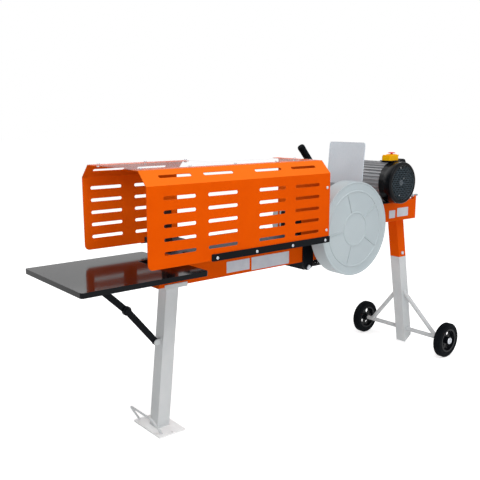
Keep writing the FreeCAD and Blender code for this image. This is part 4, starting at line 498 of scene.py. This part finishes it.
def makeHoneycombTree():
    # rows of cells inside a circle, every other row moved on by half a cell, standing in the XZ plane
    tree, start, end = newTree("honeycomb", [
        ("Item", "Object", None), ("Cell", "Float", 0.009), ("Across", "Int", 19),
        ("Radius", "Float", 0.068), ("Centre", "Vector", (0, 0, 0)), ("Finish", "Material", None)])
    cell, across = start.outputs["Cell"], start.outputs["Across"]
    item = knot(tree, "GeometryNodeObjectInfo", {"Object": start.outputs["Item"]})
    wide = times(tree, maths(tree, "SUBTRACT", across, 1.0), cell)
    tall = times(tree, wide, math.sqrt(3) / 2)
    grid = knot(tree, "GeometryNodeMeshGrid", {
        "Size X": wide, "Size Y": tall, "Vertices X": across, "Vertices Y": across})
    spot = knot(tree, "GeometryNodeInputPosition")
    parts = put(tree, "SeparateXYZ", {0: spot.outputs[0]})
    row = maths(tree, "DIVIDE", parts.outputs[1], times(tree, cell, math.sqrt(3) / 2))
    odd = maths(tree, "FLOORED_MODULO", maths(tree, "ROUND", row), 2.0)
    shift = times(tree, times(tree, odd, cell), 0.5)
    offset = put(tree, "CombineXYZ", {"X": shift})
    rows = knot(tree, "GeometryNodeSetPosition", {"Geometry": grid.outputs[0], "Offset": offset.outputs[0]})
    again = knot(tree, "GeometryNodeInputPosition")
    reach = put(tree, "VectorMath", {0: again.outputs[0]}, operation="LENGTH")
    outside = knot(tree, "FunctionNodeCompare", {0: reach.outputs["Value"], 1: start.outputs["Radius"]},
                   data_type="FLOAT", operation="GREATER_THAN")
    kept = knot(tree, "GeometryNodeDeleteGeometry",
                {"Geometry": rows.outputs[0], "Selection": outside.outputs[0]}, domain="POINT")
    laid = knot(tree, "GeometryNodeInstanceOnPoints", {
        "Points": kept.outputs[0], "Instance": item.outputs["Geometry"]})
    endTree(tree, start, end, standUp(tree, laid.outputs[0], start.outputs["Centre"]))
    return tree


pointTree, pathTree = makePointTree(), makePathTree()
ringTree, honeycombTree = makeRingTree(), makeHoneycombTree()


def grow(name, tree, base, values):
    # runs a tree on a base mesh and gives back the plain mesh it makes
    maker = addObject(name + "Maker", base)
    holder = addObject(name + "Item", values["Item"])
    modifier = maker.modifiers.new("grow", "NODES")
    modifier.node_group = tree
    sockets = {s.name: s.identifier for s in tree.interface.items_tree if s.in_out == "INPUT"}
    for label, value in values.items():
        modifier[sockets[label]] = holder if label == "Item" else value
    bpy.context.view_layer.update()
    evaluated = maker.evaluated_get(bpy.context.evaluated_depsgraph_get())
    mesh = bpy.data.meshes.new_from_object(evaluated)
    mesh.name = name
    maker.modifiers.remove(modifier)
    bpy.data.objects.remove(maker)
    bpy.data.objects.remove(holder)
    if mesh.attributes.get("axis"):
        mesh.attributes.remove(mesh.attributes["axis"])
    return mesh


def pointsMesh(name, places):
    # places are (point, axis) pairs
    mesh = bpy.data.meshes.new(name)
    mesh.from_pydata([spot for spot, axis in places], [], [])
    axes = mesh.attributes.new("axis", "FLOAT_VECTOR", "POINT")
    for i, (spot, axis) in enumerate(places):
        axes.data[i].vector = axis
    return mesh


def pathMesh(name, runs):
    # each run is a list of points, and closed ones end on their first point
    verts, edges = [], []
    for run in runs:
        first = len(verts)
        closed = (Vector(run[0]) - Vector(run[-1])).length < closeEnough
        verts += [tuple(p) for p in (run[:-1] if closed else run)]
        count = len(run) - 1 if closed else len(run)
        edges += [(first + i, first + i + 1) for i in range(count - 1)]
        if closed:
            edges.append((first + count - 1, first))
    mesh = bpy.data.meshes.new(name)
    mesh.from_pydata(verts, edges, [])
    return mesh


def stackedRings(name, rings, steps, smooth=False):
    # rings are (height, function of the angle giving the radius), closed at both ends
    verts, faces = [], []
    for height, reach in rings:
        for step in range(steps):
            angle = 2 * math.pi * step / steps
            radius = reach(angle)
            verts.append((radius * math.cos(angle), radius * math.sin(angle), height))
    for level in range(len(rings) - 1):
        for step in range(steps):
            other = (step + 1) % steps
            a, b = level * steps, (level + 1) * steps
            faces.append((a + step, a + other, b + other, b + step))
    faces.append(tuple(range(steps)))
    faces.append(tuple((len(rings) - 1) * steps + step for step in range(steps)))
    return meshFrom(name, verts, faces, smooth)


# Screws with a cross recess in the guards and rails

screwSettings = {"radius": 0.0055, "height": 0.0032, "recessReach": 0.55, "recessNarrow": 0.20,
                 "recessDepth": 0.0018, "recessHalfAngle": 0.25, "recessTaper": 0.9, "steps": 24,
                 "headRows": [(0.0, 1.0), (0.45, 1.0), (0.8, 0.86), (1.0, 0.66)],
                 "nutRadius": 0.0056, "nutHeight": 0.004, "nutFlats": 0.8, "nutRound": 0.9,
                 "nutBore": 0.55, "nutEnd": 0.0012, "nutBelow": 0.005, "nutInside": 0.0043,
                 "railZ": 0.6385, "railY": 0.214, "nearRailX": [0.105, 0.276, 0.446, 0.614],
                 "farRailX": [0.085, 0.210], "wallX": 0.622, "wallZ": [0.836, 0.676], "guardY": 0.211,
                 "sheetZ": 0.937, "sheetY": 0.138, "nearSheetX": [-0.132, 0.053, 0.242, 0.430],
                 "farSheetX": [-0.132, 0.053, 0.226], "wallTop": (0.607, -0.048), "seed": 11}


def screwHead(s):
    r, h = s["radius"], s["height"]

    def cross(angle):
        near = abs(((angle + math.pi / 4) % (math.pi / 2)) - math.pi / 4)
        return r * (s["recessReach"] if near < s["recessHalfAngle"] else s["recessNarrow"])
    rings = [(h * up, lambda a, share=share: r * share) for up, share in s["headRows"]]
    rings += [(h, cross), (h - s["recessDepth"], lambda a: cross(a) * s["recessTaper"])]
    return stackedRings("screwHead", rings, s["steps"])


def hexNut(s):
    r, h, bore = s["nutRadius"], s["nutHeight"], s["nutRadius"] * s["nutBore"]

    def flats(angle):
        return hexReach(r, angle)
    rings = [(0.0, flats), (h * s["nutFlats"], flats), (h, lambda a: min(flats(a), r * s["nutRound"])),
             (h, lambda a: bore), (h + s["nutEnd"], lambda a: bore)]
    return stackedRings("hexNut", rings, s["steps"])


def makeScrews(s):
    head = [((x, -s["railY"], s["railZ"]), (0, -1, 0)) for x in s["nearRailX"]]
    head += [((x, s["railY"], s["railZ"]), (0, 1, 0)) for x in s["farRailX"]]
    head += [((s["wallX"], -s["guardY"], z), (0, -1, 0)) for z in s["wallZ"]]
    top = [((x, -s["sheetY"], s["sheetZ"]), (0, 0, 1)) for x in s["nearSheetX"]]
    top += [((x, s["sheetY"], s["sheetZ"]), (0, 0, 1)) for x in s["farSheetX"]]
    top += [((*s["wallTop"], s["sheetZ"]), (0, 0, 1))]
    nuts = [((x, y, z - s["nutBelow"]), (0, 0, -1)) for (x, y, z), axis in top]
    nuts += [((s["wallX"], -s["guardY"] + s["nutInside"], z), (0, 1, 0)) for z in s["wallZ"]]
    heads = grow("screwHeads", pointTree, pointsMesh("screwPoints", head + top),
                 {"Item": screwHead(s), "Seed": s["seed"], "Finish": finishes["zincPlate"]})
    rear = grow("screwNuts", pointTree, pointsMesh("nutPoints", nuts),
                {"Item": hexNut(s), "Seed": s["seed"] + 1, "Finish": finishes["zincPlate"]})
    addMeshes(heads, [rear])
    piece = newPiece("guard_screw_set", heads, "zincPlate", "frame")
    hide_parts("guard_screws")


makeScrews(screwSettings)
print("screws made")


# Fan cover: a rounded black shell with a honeycomb grille let into its face

fanSettings = {"centre": (1.159, 0.815), "radius": 0.090, "back": -0.0883, "front": -0.150,
               "wall": 0.002, "round": 0.007, "roundSteps": 8, "steps": 72, "grilleRadius": 0.0735,
               "recess": 0.0022, "lip": (0.0015, 0.0008), "innerLip": 0.001, "innerRound": (0.004, 0.006),
               "cell": 0.0104, "across": 17, "bar": 0.0007, "barDepth": 0.0022, "edgeCells": 0.3}


def grilleCell(s):
    # one hexagon of the grille: a six-sided ring, open on its outside
    reach = s["cell"] / math.sqrt(3)
    verts, faces = [], []
    for depth in (0.0, s["barDepth"]):
        for radius in (reach, reach - s["bar"]):
            for k in range(6):
                angle = math.pi / 6 + math.pi / 3 * k
                verts.append((radius * math.cos(angle), radius * math.sin(angle), depth))
    for k in range(6):
        m = (k + 1) % 6
        for a, b in ((0, 6), (6, 18), (18, 12)):
            faces.append((a + k, a + m, b + m, b + k))
    return meshFrom("grilleCell", verts, faces, False)


def makeFanCover(s):
    r, w, g, front, turn = s["radius"], s["wall"], s["grilleRadius"], s["front"], s["round"]
    floor, inside = front + s["recess"] + s["barDepth"], front + w + s["innerLip"]
    outer = [(r, s["back"])]
    for k in range(s["roundSteps"] + 1):
        angle = math.pi / 2 * k / s["roundSteps"]
        outer.append((r - turn + turn * math.cos(angle), front + turn - turn * math.sin(angle)))
    outer += [(g + s["lip"][0], front), (g, front + s["lip"][1]), (g, floor)]
    inner = [(g + w, floor), (g + w, inside), (r - w - s["innerRound"][0], inside),
             (r - w, front + w + s["innerRound"][1]), (r - w, s["back"])]
    shell = turnedMesh("fanShell", outer + inner, s["steps"], s["centre"])
    grille = grow("fanGrille", honeycombTree, bpy.data.meshes.new("grilleBase"), {
        "Item": grilleCell(s), "Cell": s["cell"], "Across": s["across"],
        "Radius": g - s["cell"] * s["edgeCells"], "Centre": (s["centre"][0], floor, s["centre"][1]),
        "Finish": finishes["coverPlasticGrilleHighlight"]})
    addMeshes(shell, [grille])
    piece = newPiece("fan_cover_grille", shell, "coverPlasticGrilleHighlight", "frame")
    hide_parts("motor_fan_cover")


makeFanCover(fanSettings)
print("fan cover made")


# Tyres: a turned body with sidewall ribs and two rows of tread blocks

tyreSettings = {"centre": (1.4092, 0.080), "radius": 0.0800, "inner": 0.0542, "halfWidth": 0.017,
                "y": 0.2395, "steps": 96, "blocks": 44, "blockHeight": 0.0022, "blockLength": 0.0078,
                "blockWidth": 0.0108, "blockFoot": 0.001, "blockRise": 0.96, "blockTaper": (0.8, 0.92),
                "rowPlace": 0.36, "sunk": 0.0004,
                "innerRows": [(0.0, 0.86), (0.001, 0.98), (0.004, 1.0), (0.005, 0.94), (0.007, 0.94),
                              (0.008, 1.0)],
                "outerRows": [(-0.009, 1.0), (-0.008, 0.95), (-0.0065, 0.95), (-0.006, 0.97),
                              (-0.003, 0.88), (-0.001, 0.74), (0.0, 0.5), (0.0002, 0.02)]}


def makeTyre(name, side, body, s):
    y0 = side * s["y"]
    r, w = s["radius"] - s["blockHeight"], s["halfWidth"]
    half = [(s["inner"] + out, w * share) for out, share in s["innerRows"]]
    half += [(r + out, w * share) for out, share in s["outerRows"]]
    profile = [(a, y0 + b) for a, b in half] + [(a, y0 - b) for a, b in reversed(half)]
    tyre = turnedMesh(name, profile, s["steps"], s["centre"])
    a, b = s["blockLength"] / 2, s["blockWidth"] / 2
    corners = [(-1, -1), (1, -1), (1, 1), (-1, 1)]
    verts = [(-s["blockFoot"], x * a, y * b) for x, y in corners]
    verts += [(s["blockHeight"] * s["blockRise"], x * a * s["blockTaper"][0], y * b * s["blockTaper"][1])
              for x, y in corners]
    block = meshFrom("treadBlock", verts, [(0, 1, 2, 3), (4, 5, 6, 7), (0, 1, 5, 4), (1, 2, 6, 5),
                                           (2, 3, 7, 6), (3, 0, 4, 7)], False)
    rings = []
    for row, turn in ((-1, 0.0), (1, math.pi / s["blocks"])):
        centre = (s["centre"][0], y0 + row * w * s["rowPlace"], s["centre"][1])
        rings.append(grow("tread", ringTree, bpy.data.meshes.new("treadBase"), {
            "Item": block, "Count": s["blocks"], "Radius": r - s["sunk"], "Start Angle": turn,
            "Centre": centre, "Finish": finishes["blackRubber"]}))
    addMeshes(tyre, rings)
    piece = newPiece(name, tyre, "blackRubber", body)
    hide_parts(body + "_tyre")


makeTyre("near_wheel_treads", -1, "near_wheel", tyreSettings)
makeTyre("far_wheel_treads", 1, "far_wheel", tyreSettings)
print("tyres made")


# Ribbed rubber grip on the lever

gripSettings = {"pivot": (0.888, 0.745), "end": (0.686, 0.980), "radius": 0.0150, "core": 0.01005,
                "length": 0.120, "steps": 40, "ribs": 13, "ribDepth": 0.0016,
                "ribPlaces": [(1.0, 0.30), (0.3, 0.42), (0.3, 0.78), (1.0, 0.90)],
                "collar": (0.006, 0.008), "plainLength": 0.030, "capFrom": (0.021, 0.019),
                "capRound": 0.006, "capEdge": 0.0018, "axisGap": 0.0004, "capDepth": 0.0062}


def makeGrip(s):
    pivot, end = Vector((s["pivot"][0], 0, s["pivot"][1])), Vector((s["end"][0], 0, s["end"][1]))
    way = (end - pivot).normalized()
    start = end - way * s["length"]
    r, d, top = s["radius"], s["ribDepth"], s["length"]
    profile = [(s["core"], 0.0), (r, 0.0), (r, s["collar"][0]), (r - d, s["collar"][1])]
    step = (s["length"] - s["plainLength"]) / s["ribs"]
    for k in range(s["ribs"]):
        low = s["collar"][1] + k * step
        profile += [(r - d * deep, low + step * along) for deep, along in s["ribPlaces"]]
    profile += [(r - d, top - s["capFrom"][0]), (r, top - s["capFrom"][1]), (r, top - s["capRound"]),
                (r - s["capEdge"], top - s["capEdge"]), (r - s["capRound"], top), (s["axisGap"], top),
                (s["axisGap"], top - s["capDepth"]), (s["core"], top - s["capDepth"])]
    mesh = turnedMesh("gripForm", profile, s["steps"], (0, 0))
    turn = Vector((0, 1, 0)).rotation_difference(way).to_matrix().to_4x4()
    mesh.transform(Matrix.Translation(start) @ turn)
    piece = newPiece("lever_grip_ribbed", mesh, "blackRubber", "lever")
    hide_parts("lever_grip")


makeGrip(gripSettings)
print("grip made")


# Stop mushroom: a domed head on its stem

mushroomSettings = {"place": (1.172, -0.072), "foot": 0.9321, "under": 0.9391, "top": 0.9438,
                    "stem": 0.005, "radius": 0.016, "steps": 40, "domeSteps": 8, "edge": 0.22,
                    "underRows": [(0.0, 0.86), (0.06, 0.95), (0.22, 1.0)], "axisGap": 0.0004}


def makeMushroom(s):
    r, low = s["radius"], s["under"]
    rise = s["top"] - low
    outline = [(s["foot"], s["stem"]), (low, s["stem"])]
    outline += [(low + rise * up, r * share) for up, share in s["underRows"]]
    for k in range(1, s["domeSteps"] + 1):
        angle = math.pi / 2 * k / s["domeSteps"]
        outline.append((low + rise * (s["edge"] + (1 - s["edge"]) * math.sin(angle)),
                        max(r * math.cos(angle), s["axisGap"])))
    rings = [(height, lambda angle, reach=reach: reach) for height, reach in outline]
    mesh = stackedRings("mushroomForm", rings, s["steps"], True)
    mesh.transform(Matrix.Translation((*s["place"], 0)))
    piece = newPiece("stop_mushroom", mesh, "redPlastic", "stop_button")
    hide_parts("stop_button")


makeMushroom(mushroomSettings)
print("mushroom made")


# Leg bolt, threaded tension screw with its nut, and the wheel nuts

fastenerSettings = {"bolt": (1.3411, 0.466), "boltRadius": 0.005, "legHalf": 0.025, "boltPast": 0.001,
                    "headRadius": 0.0085, "headHeight": 0.005, "screw": (-0.045, 0.737),
                    "screwFrom": 1.2391, "screwTo": 1.408, "screwRadius": 0.005, "pitch": 0.00175,
                    "rootShare": 0.86, "tipShare": 0.8, "nutFrom": 1.367, "nutLength": 0.008,
                    "nutRadius": 0.009, "axle": (1.4092, 0.080), "hubEnd": 0.2598, "capRadius": 0.015,
                    "capHole": 0.0081, "capLength": 0.005, "axisGap": 0.0004,
                    "capRows": [(1.0, 0.0), (1.0, 0.4), (0.93, 0.75), (0.78, 1.0)],
                    "steps": {"bolt": 24, "thread": 20, "cap": 40, "head": 36}, "seed": 31,
                    "washer": (0.98, 0.2), "flatsTo": 0.85, "headRound": 0.84}


def hexHead(name, radius, height, s):
    # a hexagon on a round washer face
    def flats(angle):
        return hexReach(radius, angle)

    def washer(angle):
        return radius * s["washer"][0]
    foot = height * s["washer"][1]
    rings = [(0.0, washer), (foot, washer), (foot, flats), (height * s["flatsTo"], flats),
             (height, lambda a: min(flats(a), radius * s["headRound"]))]
    return stackedRings(name, rings, s["steps"]["head"])


def makeFasteners(s):
    bx, bz = s["bolt"]
    gap, steps = s["axisGap"], s["steps"]
    heads = [((bx, side * s["legHalf"], bz), (0, side, 0)) for side in (-1, 1)]
    whole = [grow("boltHeads", pointTree, pointsMesh("boltPoints", heads), {
        "Item": hexHead("boltHead", s["headRadius"], s["headHeight"], s), "Seed": s["seed"],
        "Finish": finishes["zincPlate"]})]
    half = s["legHalf"] + s["boltPast"]
    shank = [(gap, -half), (s["boltRadius"], -half), (s["boltRadius"], half), (gap, half)]
    whole.append(turnedMesh("boltShank", shank, steps["bolt"], s["bolt"]))
    length = s["screwTo"] - s["screwFrom"]
    turns = int(length / s["pitch"])
    step = length / turns
    thread = [(gap, 0.0)]
    for k in range(turns):
        thread += [(s["screwRadius"] * s["rootShare"], k * step), (s["screwRadius"], (k + 0.5) * step)]
    thread += [(s["screwRadius"] * s["tipShare"], length), (gap, length)]
    y, z = s["screw"]
    screw = turnedMesh("screwThread", thread, steps["thread"], (0, 0))
    screw.transform(Matrix.Translation((s["screwFrom"], y, z)) @ Matrix.Rotation(-math.pi / 2, 4, "Z"))
    nut = hexHead("screwNut", s["nutRadius"], s["nutLength"], s)
    nut.transform(Matrix.Translation((s["nutFrom"], y, z)) @ Matrix.Rotation(math.pi / 2, 4, "Y"))
    whole += [screw, nut]
    hole, low, long = s["capHole"], s["hubEnd"], s["capLength"]
    ring = [(hole, low)] + [(s["capRadius"] * share, low + long * along) for share, along in s["capRows"]]
    ring += [(hole, low + long)]
    for side in (-1, 1):
        whole.append(turnedMesh("wheelNut", [(a, side * b) for a, b in ring], steps["cap"], s["axle"]))
    mesh = bpy.data.meshes.new("fastenerForm")
    addMeshes(mesh, whole)
    piece = newPiece("frame_fastener_set", mesh, "zincPlate", "frame")
    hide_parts("frame_fasteners")


makeFasteners(fastenerSettings)
print("fasteners made")


# Weld beads along the joints of the beam, the legs and the foot

weldSettings = {"size": (0.0030, 0.0024, 0.0020), "sides": (8, 6), "step": 0.0021, "smallest": 0.86,
                "largest": 1.12, "seed": 17, "beamTop": 0.631, "beamEnd": 0.791, "housingFront": 0.711,
                "housingHalf": 0.054, "frontHalf": 0.052, "legHalf": 0.0248,
                "socket": (1.2868, 1.3372, 0.6305), "foot": (-0.0240, 0.0260, 0.0065),
                "legTop": (0.0270, 0.0770, 0.5155)}


def weldRing(x0, x1, z, half):
    # a closed run round a square tube
    return [(x0, -half, z), (x1, -half, z), (x1, half, z), (x0, half, z), (x0, -half, z)]


def weldRuns(s):
    front, end, top, side = s["housingFront"], s["beamEnd"], s["beamTop"], s["housingHalf"]
    orange = [[(front, y, top), (end, y, top)] for y in (side, -side)]
    orange += [[(front, -s["frontHalf"], top), (front, s["frontHalf"], top)],
               weldRing(*s["socket"], s["legHalf"])]
    return orange, [weldRing(*s[place], s["legHalf"]) for place in ("foot", "legTop")]


def weldBead(s):
    form = bmesh.new()
    bmesh.ops.create_uvsphere(form, u_segments=s["sides"][0], v_segments=s["sides"][1], radius=1.0)
    bmesh.ops.scale(form, vec=s["size"], verts=form.verts)
    for face in form.faces:
        face.smooth = True
    mesh = bpy.data.meshes.new("weldBead")
    form.to_mesh(mesh)
    form.free()
    return mesh


def makeWelds(name, runs, finishName, s):
    mesh = grow(name, pathTree, pathMesh(name + "Path", runs), {
        "Item": weldBead(s), "Step": s["step"], "Smallest": s["smallest"], "Largest": s["largest"],
        "Seed": s["seed"], "Finish": finishes[finishName]})
    newPiece(name, mesh, finishName, "frame")


orangeRuns, whiteRuns = weldRuns(weldSettings)
makeWelds("weld_beads_orange", orangeRuns, "orangePaint", weldSettings)
makeWelds("weld_beads_white", whiteRuns, "whitePaint", weldSettings)
print("welds made")


# Cogged belt in its grooves

beltSettings = {"large": (0.831, 0.653), "small": (1.159, 0.815), "largeRadius": 0.0863,
                "smallRadius": 0.0313, "y": 0.178, "thick": 0.0080, "band": 0.0050,
                "innerHalf": 0.0036, "outerHalf": 0.0052, "cogStep": 0.0080, "cogLength": 0.0046,
                "cogTaper": 0.8, "cogSide": 0.98, "cogLap": 0.0002, "cogLift": 0.0001,
                "arcSteps": 40, "seed": 5}


def beltLine(s, out):
    # closed line round both pulleys, at a distance out from the pulleys' floors
    large, small = Vector(s["large"]), Vector(s["small"])
    span = small - large
    slope = math.atan2(span.y, span.x)
    fan = math.acos((s["largeRadius"] - s["smallRadius"]) / span.length)
    line = []
    arcs = ((large, s["largeRadius"] + out, slope + fan, slope + 2 * math.pi - fan),
            (small, s["smallRadius"] + out, slope - fan, slope + fan))
    for centre, radius, first, last in arcs:
        for k in range(s["arcSteps"] + 1):
            angle = first + (last - first) * k / s["arcSteps"]
            line.append((centre.x + radius * math.cos(angle), centre.y + radius * math.sin(angle)))
    return line


def makeBelt(s):
    low, high = s["thick"] - s["band"], s["thick"]
    inner, outer = beltLine(s, low), beltLine(s, high)
    middleHalf = s["innerHalf"] + (s["outerHalf"] - s["innerHalf"]) * low / high
    verts, faces = [], []
    for (ax, az), (bx, bz) in zip(inner, outer):
        verts += [(ax, s["y"] - middleHalf, az), (ax, s["y"] + middleHalf, az),
                  (bx, s["y"] + s["outerHalf"], bz), (bx, s["y"] - s["outerHalf"], bz)]
    count = len(inner)
    for k in range(count):
        a, b = k * 4, ((k + 1) % count) * 4
        for m in range(4):
            n = (m + 1) % 4
            faces.append((a + m, a + n, b + n, b + m))
    band = meshFrom("beltBand", verts, faces, False)
    reach, deep = s["cogLength"] / 2, low / 2 + s["cogLap"]
    corners = [(x * (s["cogTaper"] if z > 0 else 1.0) * reach, y * s["innerHalf"] * s["cogSide"], z * deep)
               for x in (-1, 1) for y in (-1, 1) for z in (-1, 1)]
    cog = meshFrom("beltCog", corners, [(0, 1, 3, 2), (4, 5, 7, 6), (0, 1, 5, 4), (2, 3, 7, 6),
                                        (0, 2, 6, 4), (1, 3, 7, 5)], False)
    line = [(x, s["y"], z) for x, z in beltLine(s, low / 2 + s["cogLift"])]
    cogs = grow("beltCogs", pathTree, pathMesh("beltPath", [line + line[:1]]), {
        "Item": cog, "Step": s["cogStep"], "Smallest": 1.0, "Largest": 1.0, "Seed": s["seed"],
        "Finish": finishes["blackRubber"]})
    addMeshes(band, [cogs])
    piece = newPiece("drive_belt_cogged", band, "blackRubber", "frame")
    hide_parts("drive_belt")


makeBelt(beltSettings)
print("belt made")


# Blank label films on the sides of the rack housing and the main beam

labelSettings = {"y": -0.0540, "thick": 0.0003, "sunk": 0.0001, "round": 0.002,
                 "films": [(1.195, 1.238, 0.646, 0.681), (1.252, 1.332, 0.648, 0.688),
                           (0.268, 0.377, 0.533, 0.575), (0.387, 0.580, 0.527, 0.576)]}


def makeLabels(s):
    verts, faces = [], []
    for x0, x1, z0, z1 in s["films"]:
        first = len(verts)
        outline = roundedOutline([(x0, z0), (x1, z0), (x1, z1), (x0, z1)], s["round"])
        count = len(outline)
        for y in (s["y"] + s["sunk"], s["y"] - s["thick"]):
            verts += [(x, y, z) for x, z in outline]
        faces += [tuple(first + k for k in range(count)), tuple(first + count + k for k in range(count))]
        faces += [(first + k, first + (k + 1) % count, first + count + (k + 1) % count, first + count + k)
                  for k in range(count)]
    mesh = meshFrom("labelForm", verts, faces, False)
    newPiece("blank_labels", mesh, "labelFilm", "frame")


makeLabels(labelSettings)
print("labels made")


# Camera at the photograph's place

cameraSettings = {"place": (-1.1827, -1.9035, 1.0898), "lens": 49.6, "sensor": 36.0,
                  "pitch": 10.45, "yaw": 39.30, "farthest": 60.0}


def makeCamera(s):
    data = bpy.data.cameras.new("viewCamera")
    data.lens = s["lens"]
    data.sensor_width = s["sensor"]
    data.clip_end = s["farthest"]
    camera = addObject("viewCamera", data)
    camera.location = s["place"]
    camera.rotation_euler = (math.radians(90 - s["pitch"]), 0, math.radians(-s["yaw"]))
    bpy.context.scene.camera = camera


makeCamera(cameraSettings)


# Pale studio: a glowing white floor, a white world and four soft lamps

studioSettings = {"worldLight": 0.46, "white": (1, 1, 1, 1), "floorColour": (0.90, 0.90, 0.90, 1),
                  "floorGlow": 0.60, "floorHalf": 30.0, "floorZ": -0.0006, "floorRough": 0.9,
                  "lamps": {"key": {"place": (-1.0, -3.8, 0.9), "size": 1.7, "power": 24.0},
                            "top": {"place": (-0.1, -1.7, 3.9), "size": 2.6, "power": 82.0},
                            "fill": {"place": (3.2, -3.2, 2.2), "size": 2.4, "power": 9.0},
                            "rear": {"place": (0.6, 3.6, 3.0), "size": 2.6, "power": 26.0}},
                  "aim": (0.5, 0.0, 0.6)}


def seenShare(tree):
    # 1 for what the camera, a mirror or a clear sheet sees, 0 for the light that the surface gives
    path = put(tree, "LightPath")
    first = maths(tree, "MAXIMUM", path.outputs["Is Camera Ray"], path.outputs["Is Glossy Ray"])
    return maths(tree, "MAXIMUM", first, path.outputs["Is Transmission Ray"])


def makeStudio(s):
    world = bpy.data.worlds.new("studioWorld")
    bpy.context.scene.world = world
    world.use_nodes = True
    tree = world.node_tree
    back = tree.nodes["Background"]
    back.inputs["Color"].default_value = s["white"]
    strength = put(tree, "MapRange", {"Value": seenShare(tree), "To Min": s["worldLight"], "To Max": 1.0})
    tree.links.new(strength.outputs["Result"], back.inputs["Strength"])
    half = s["floorHalf"]
    corners = [(x * half, y * half, s["floorZ"]) for x, y in ((-1, -1), (1, -1), (1, 1), (-1, 1))]
    mesh = bpy.data.meshes.new("studioFloor")
    mesh.from_pydata(corners, [], [(0, 1, 2, 3)])
    floor = addObject("studioFloor", mesh)
    finish, tree, shader = newFinish("studioFloor")
    shader.inputs["Base Color"].default_value = s["floorColour"]
    shader.inputs["Roughness"].default_value = s["floorRough"]
    shader.inputs["Specular IOR Level"].default_value = 0.0
    shader.inputs["Emission Color"].default_value = s["white"]
    tree.links.new(times(tree, seenShare(tree), s["floorGlow"]), shader.inputs["Emission Strength"])
    mesh.materials.append(finish)
    for name, lamp in s["lamps"].items():
        data = bpy.data.lights.new(name, "AREA")
        data.shape = "SQUARE"
        data.size = lamp["size"]
        data.energy = lamp["power"]
        light = addObject(name, data)
        light.location = lamp["place"]
        way = Vector(s["aim"]) - Vector(lamp["place"])
        light.rotation_euler = way.to_track_quat("-Z", "Y").to_euler()


makeStudio(studioSettings)
bpy.context.scene.view_settings.view_transform = "Standard"
print("camera and studio made")

bpy.context.view_layer.update()
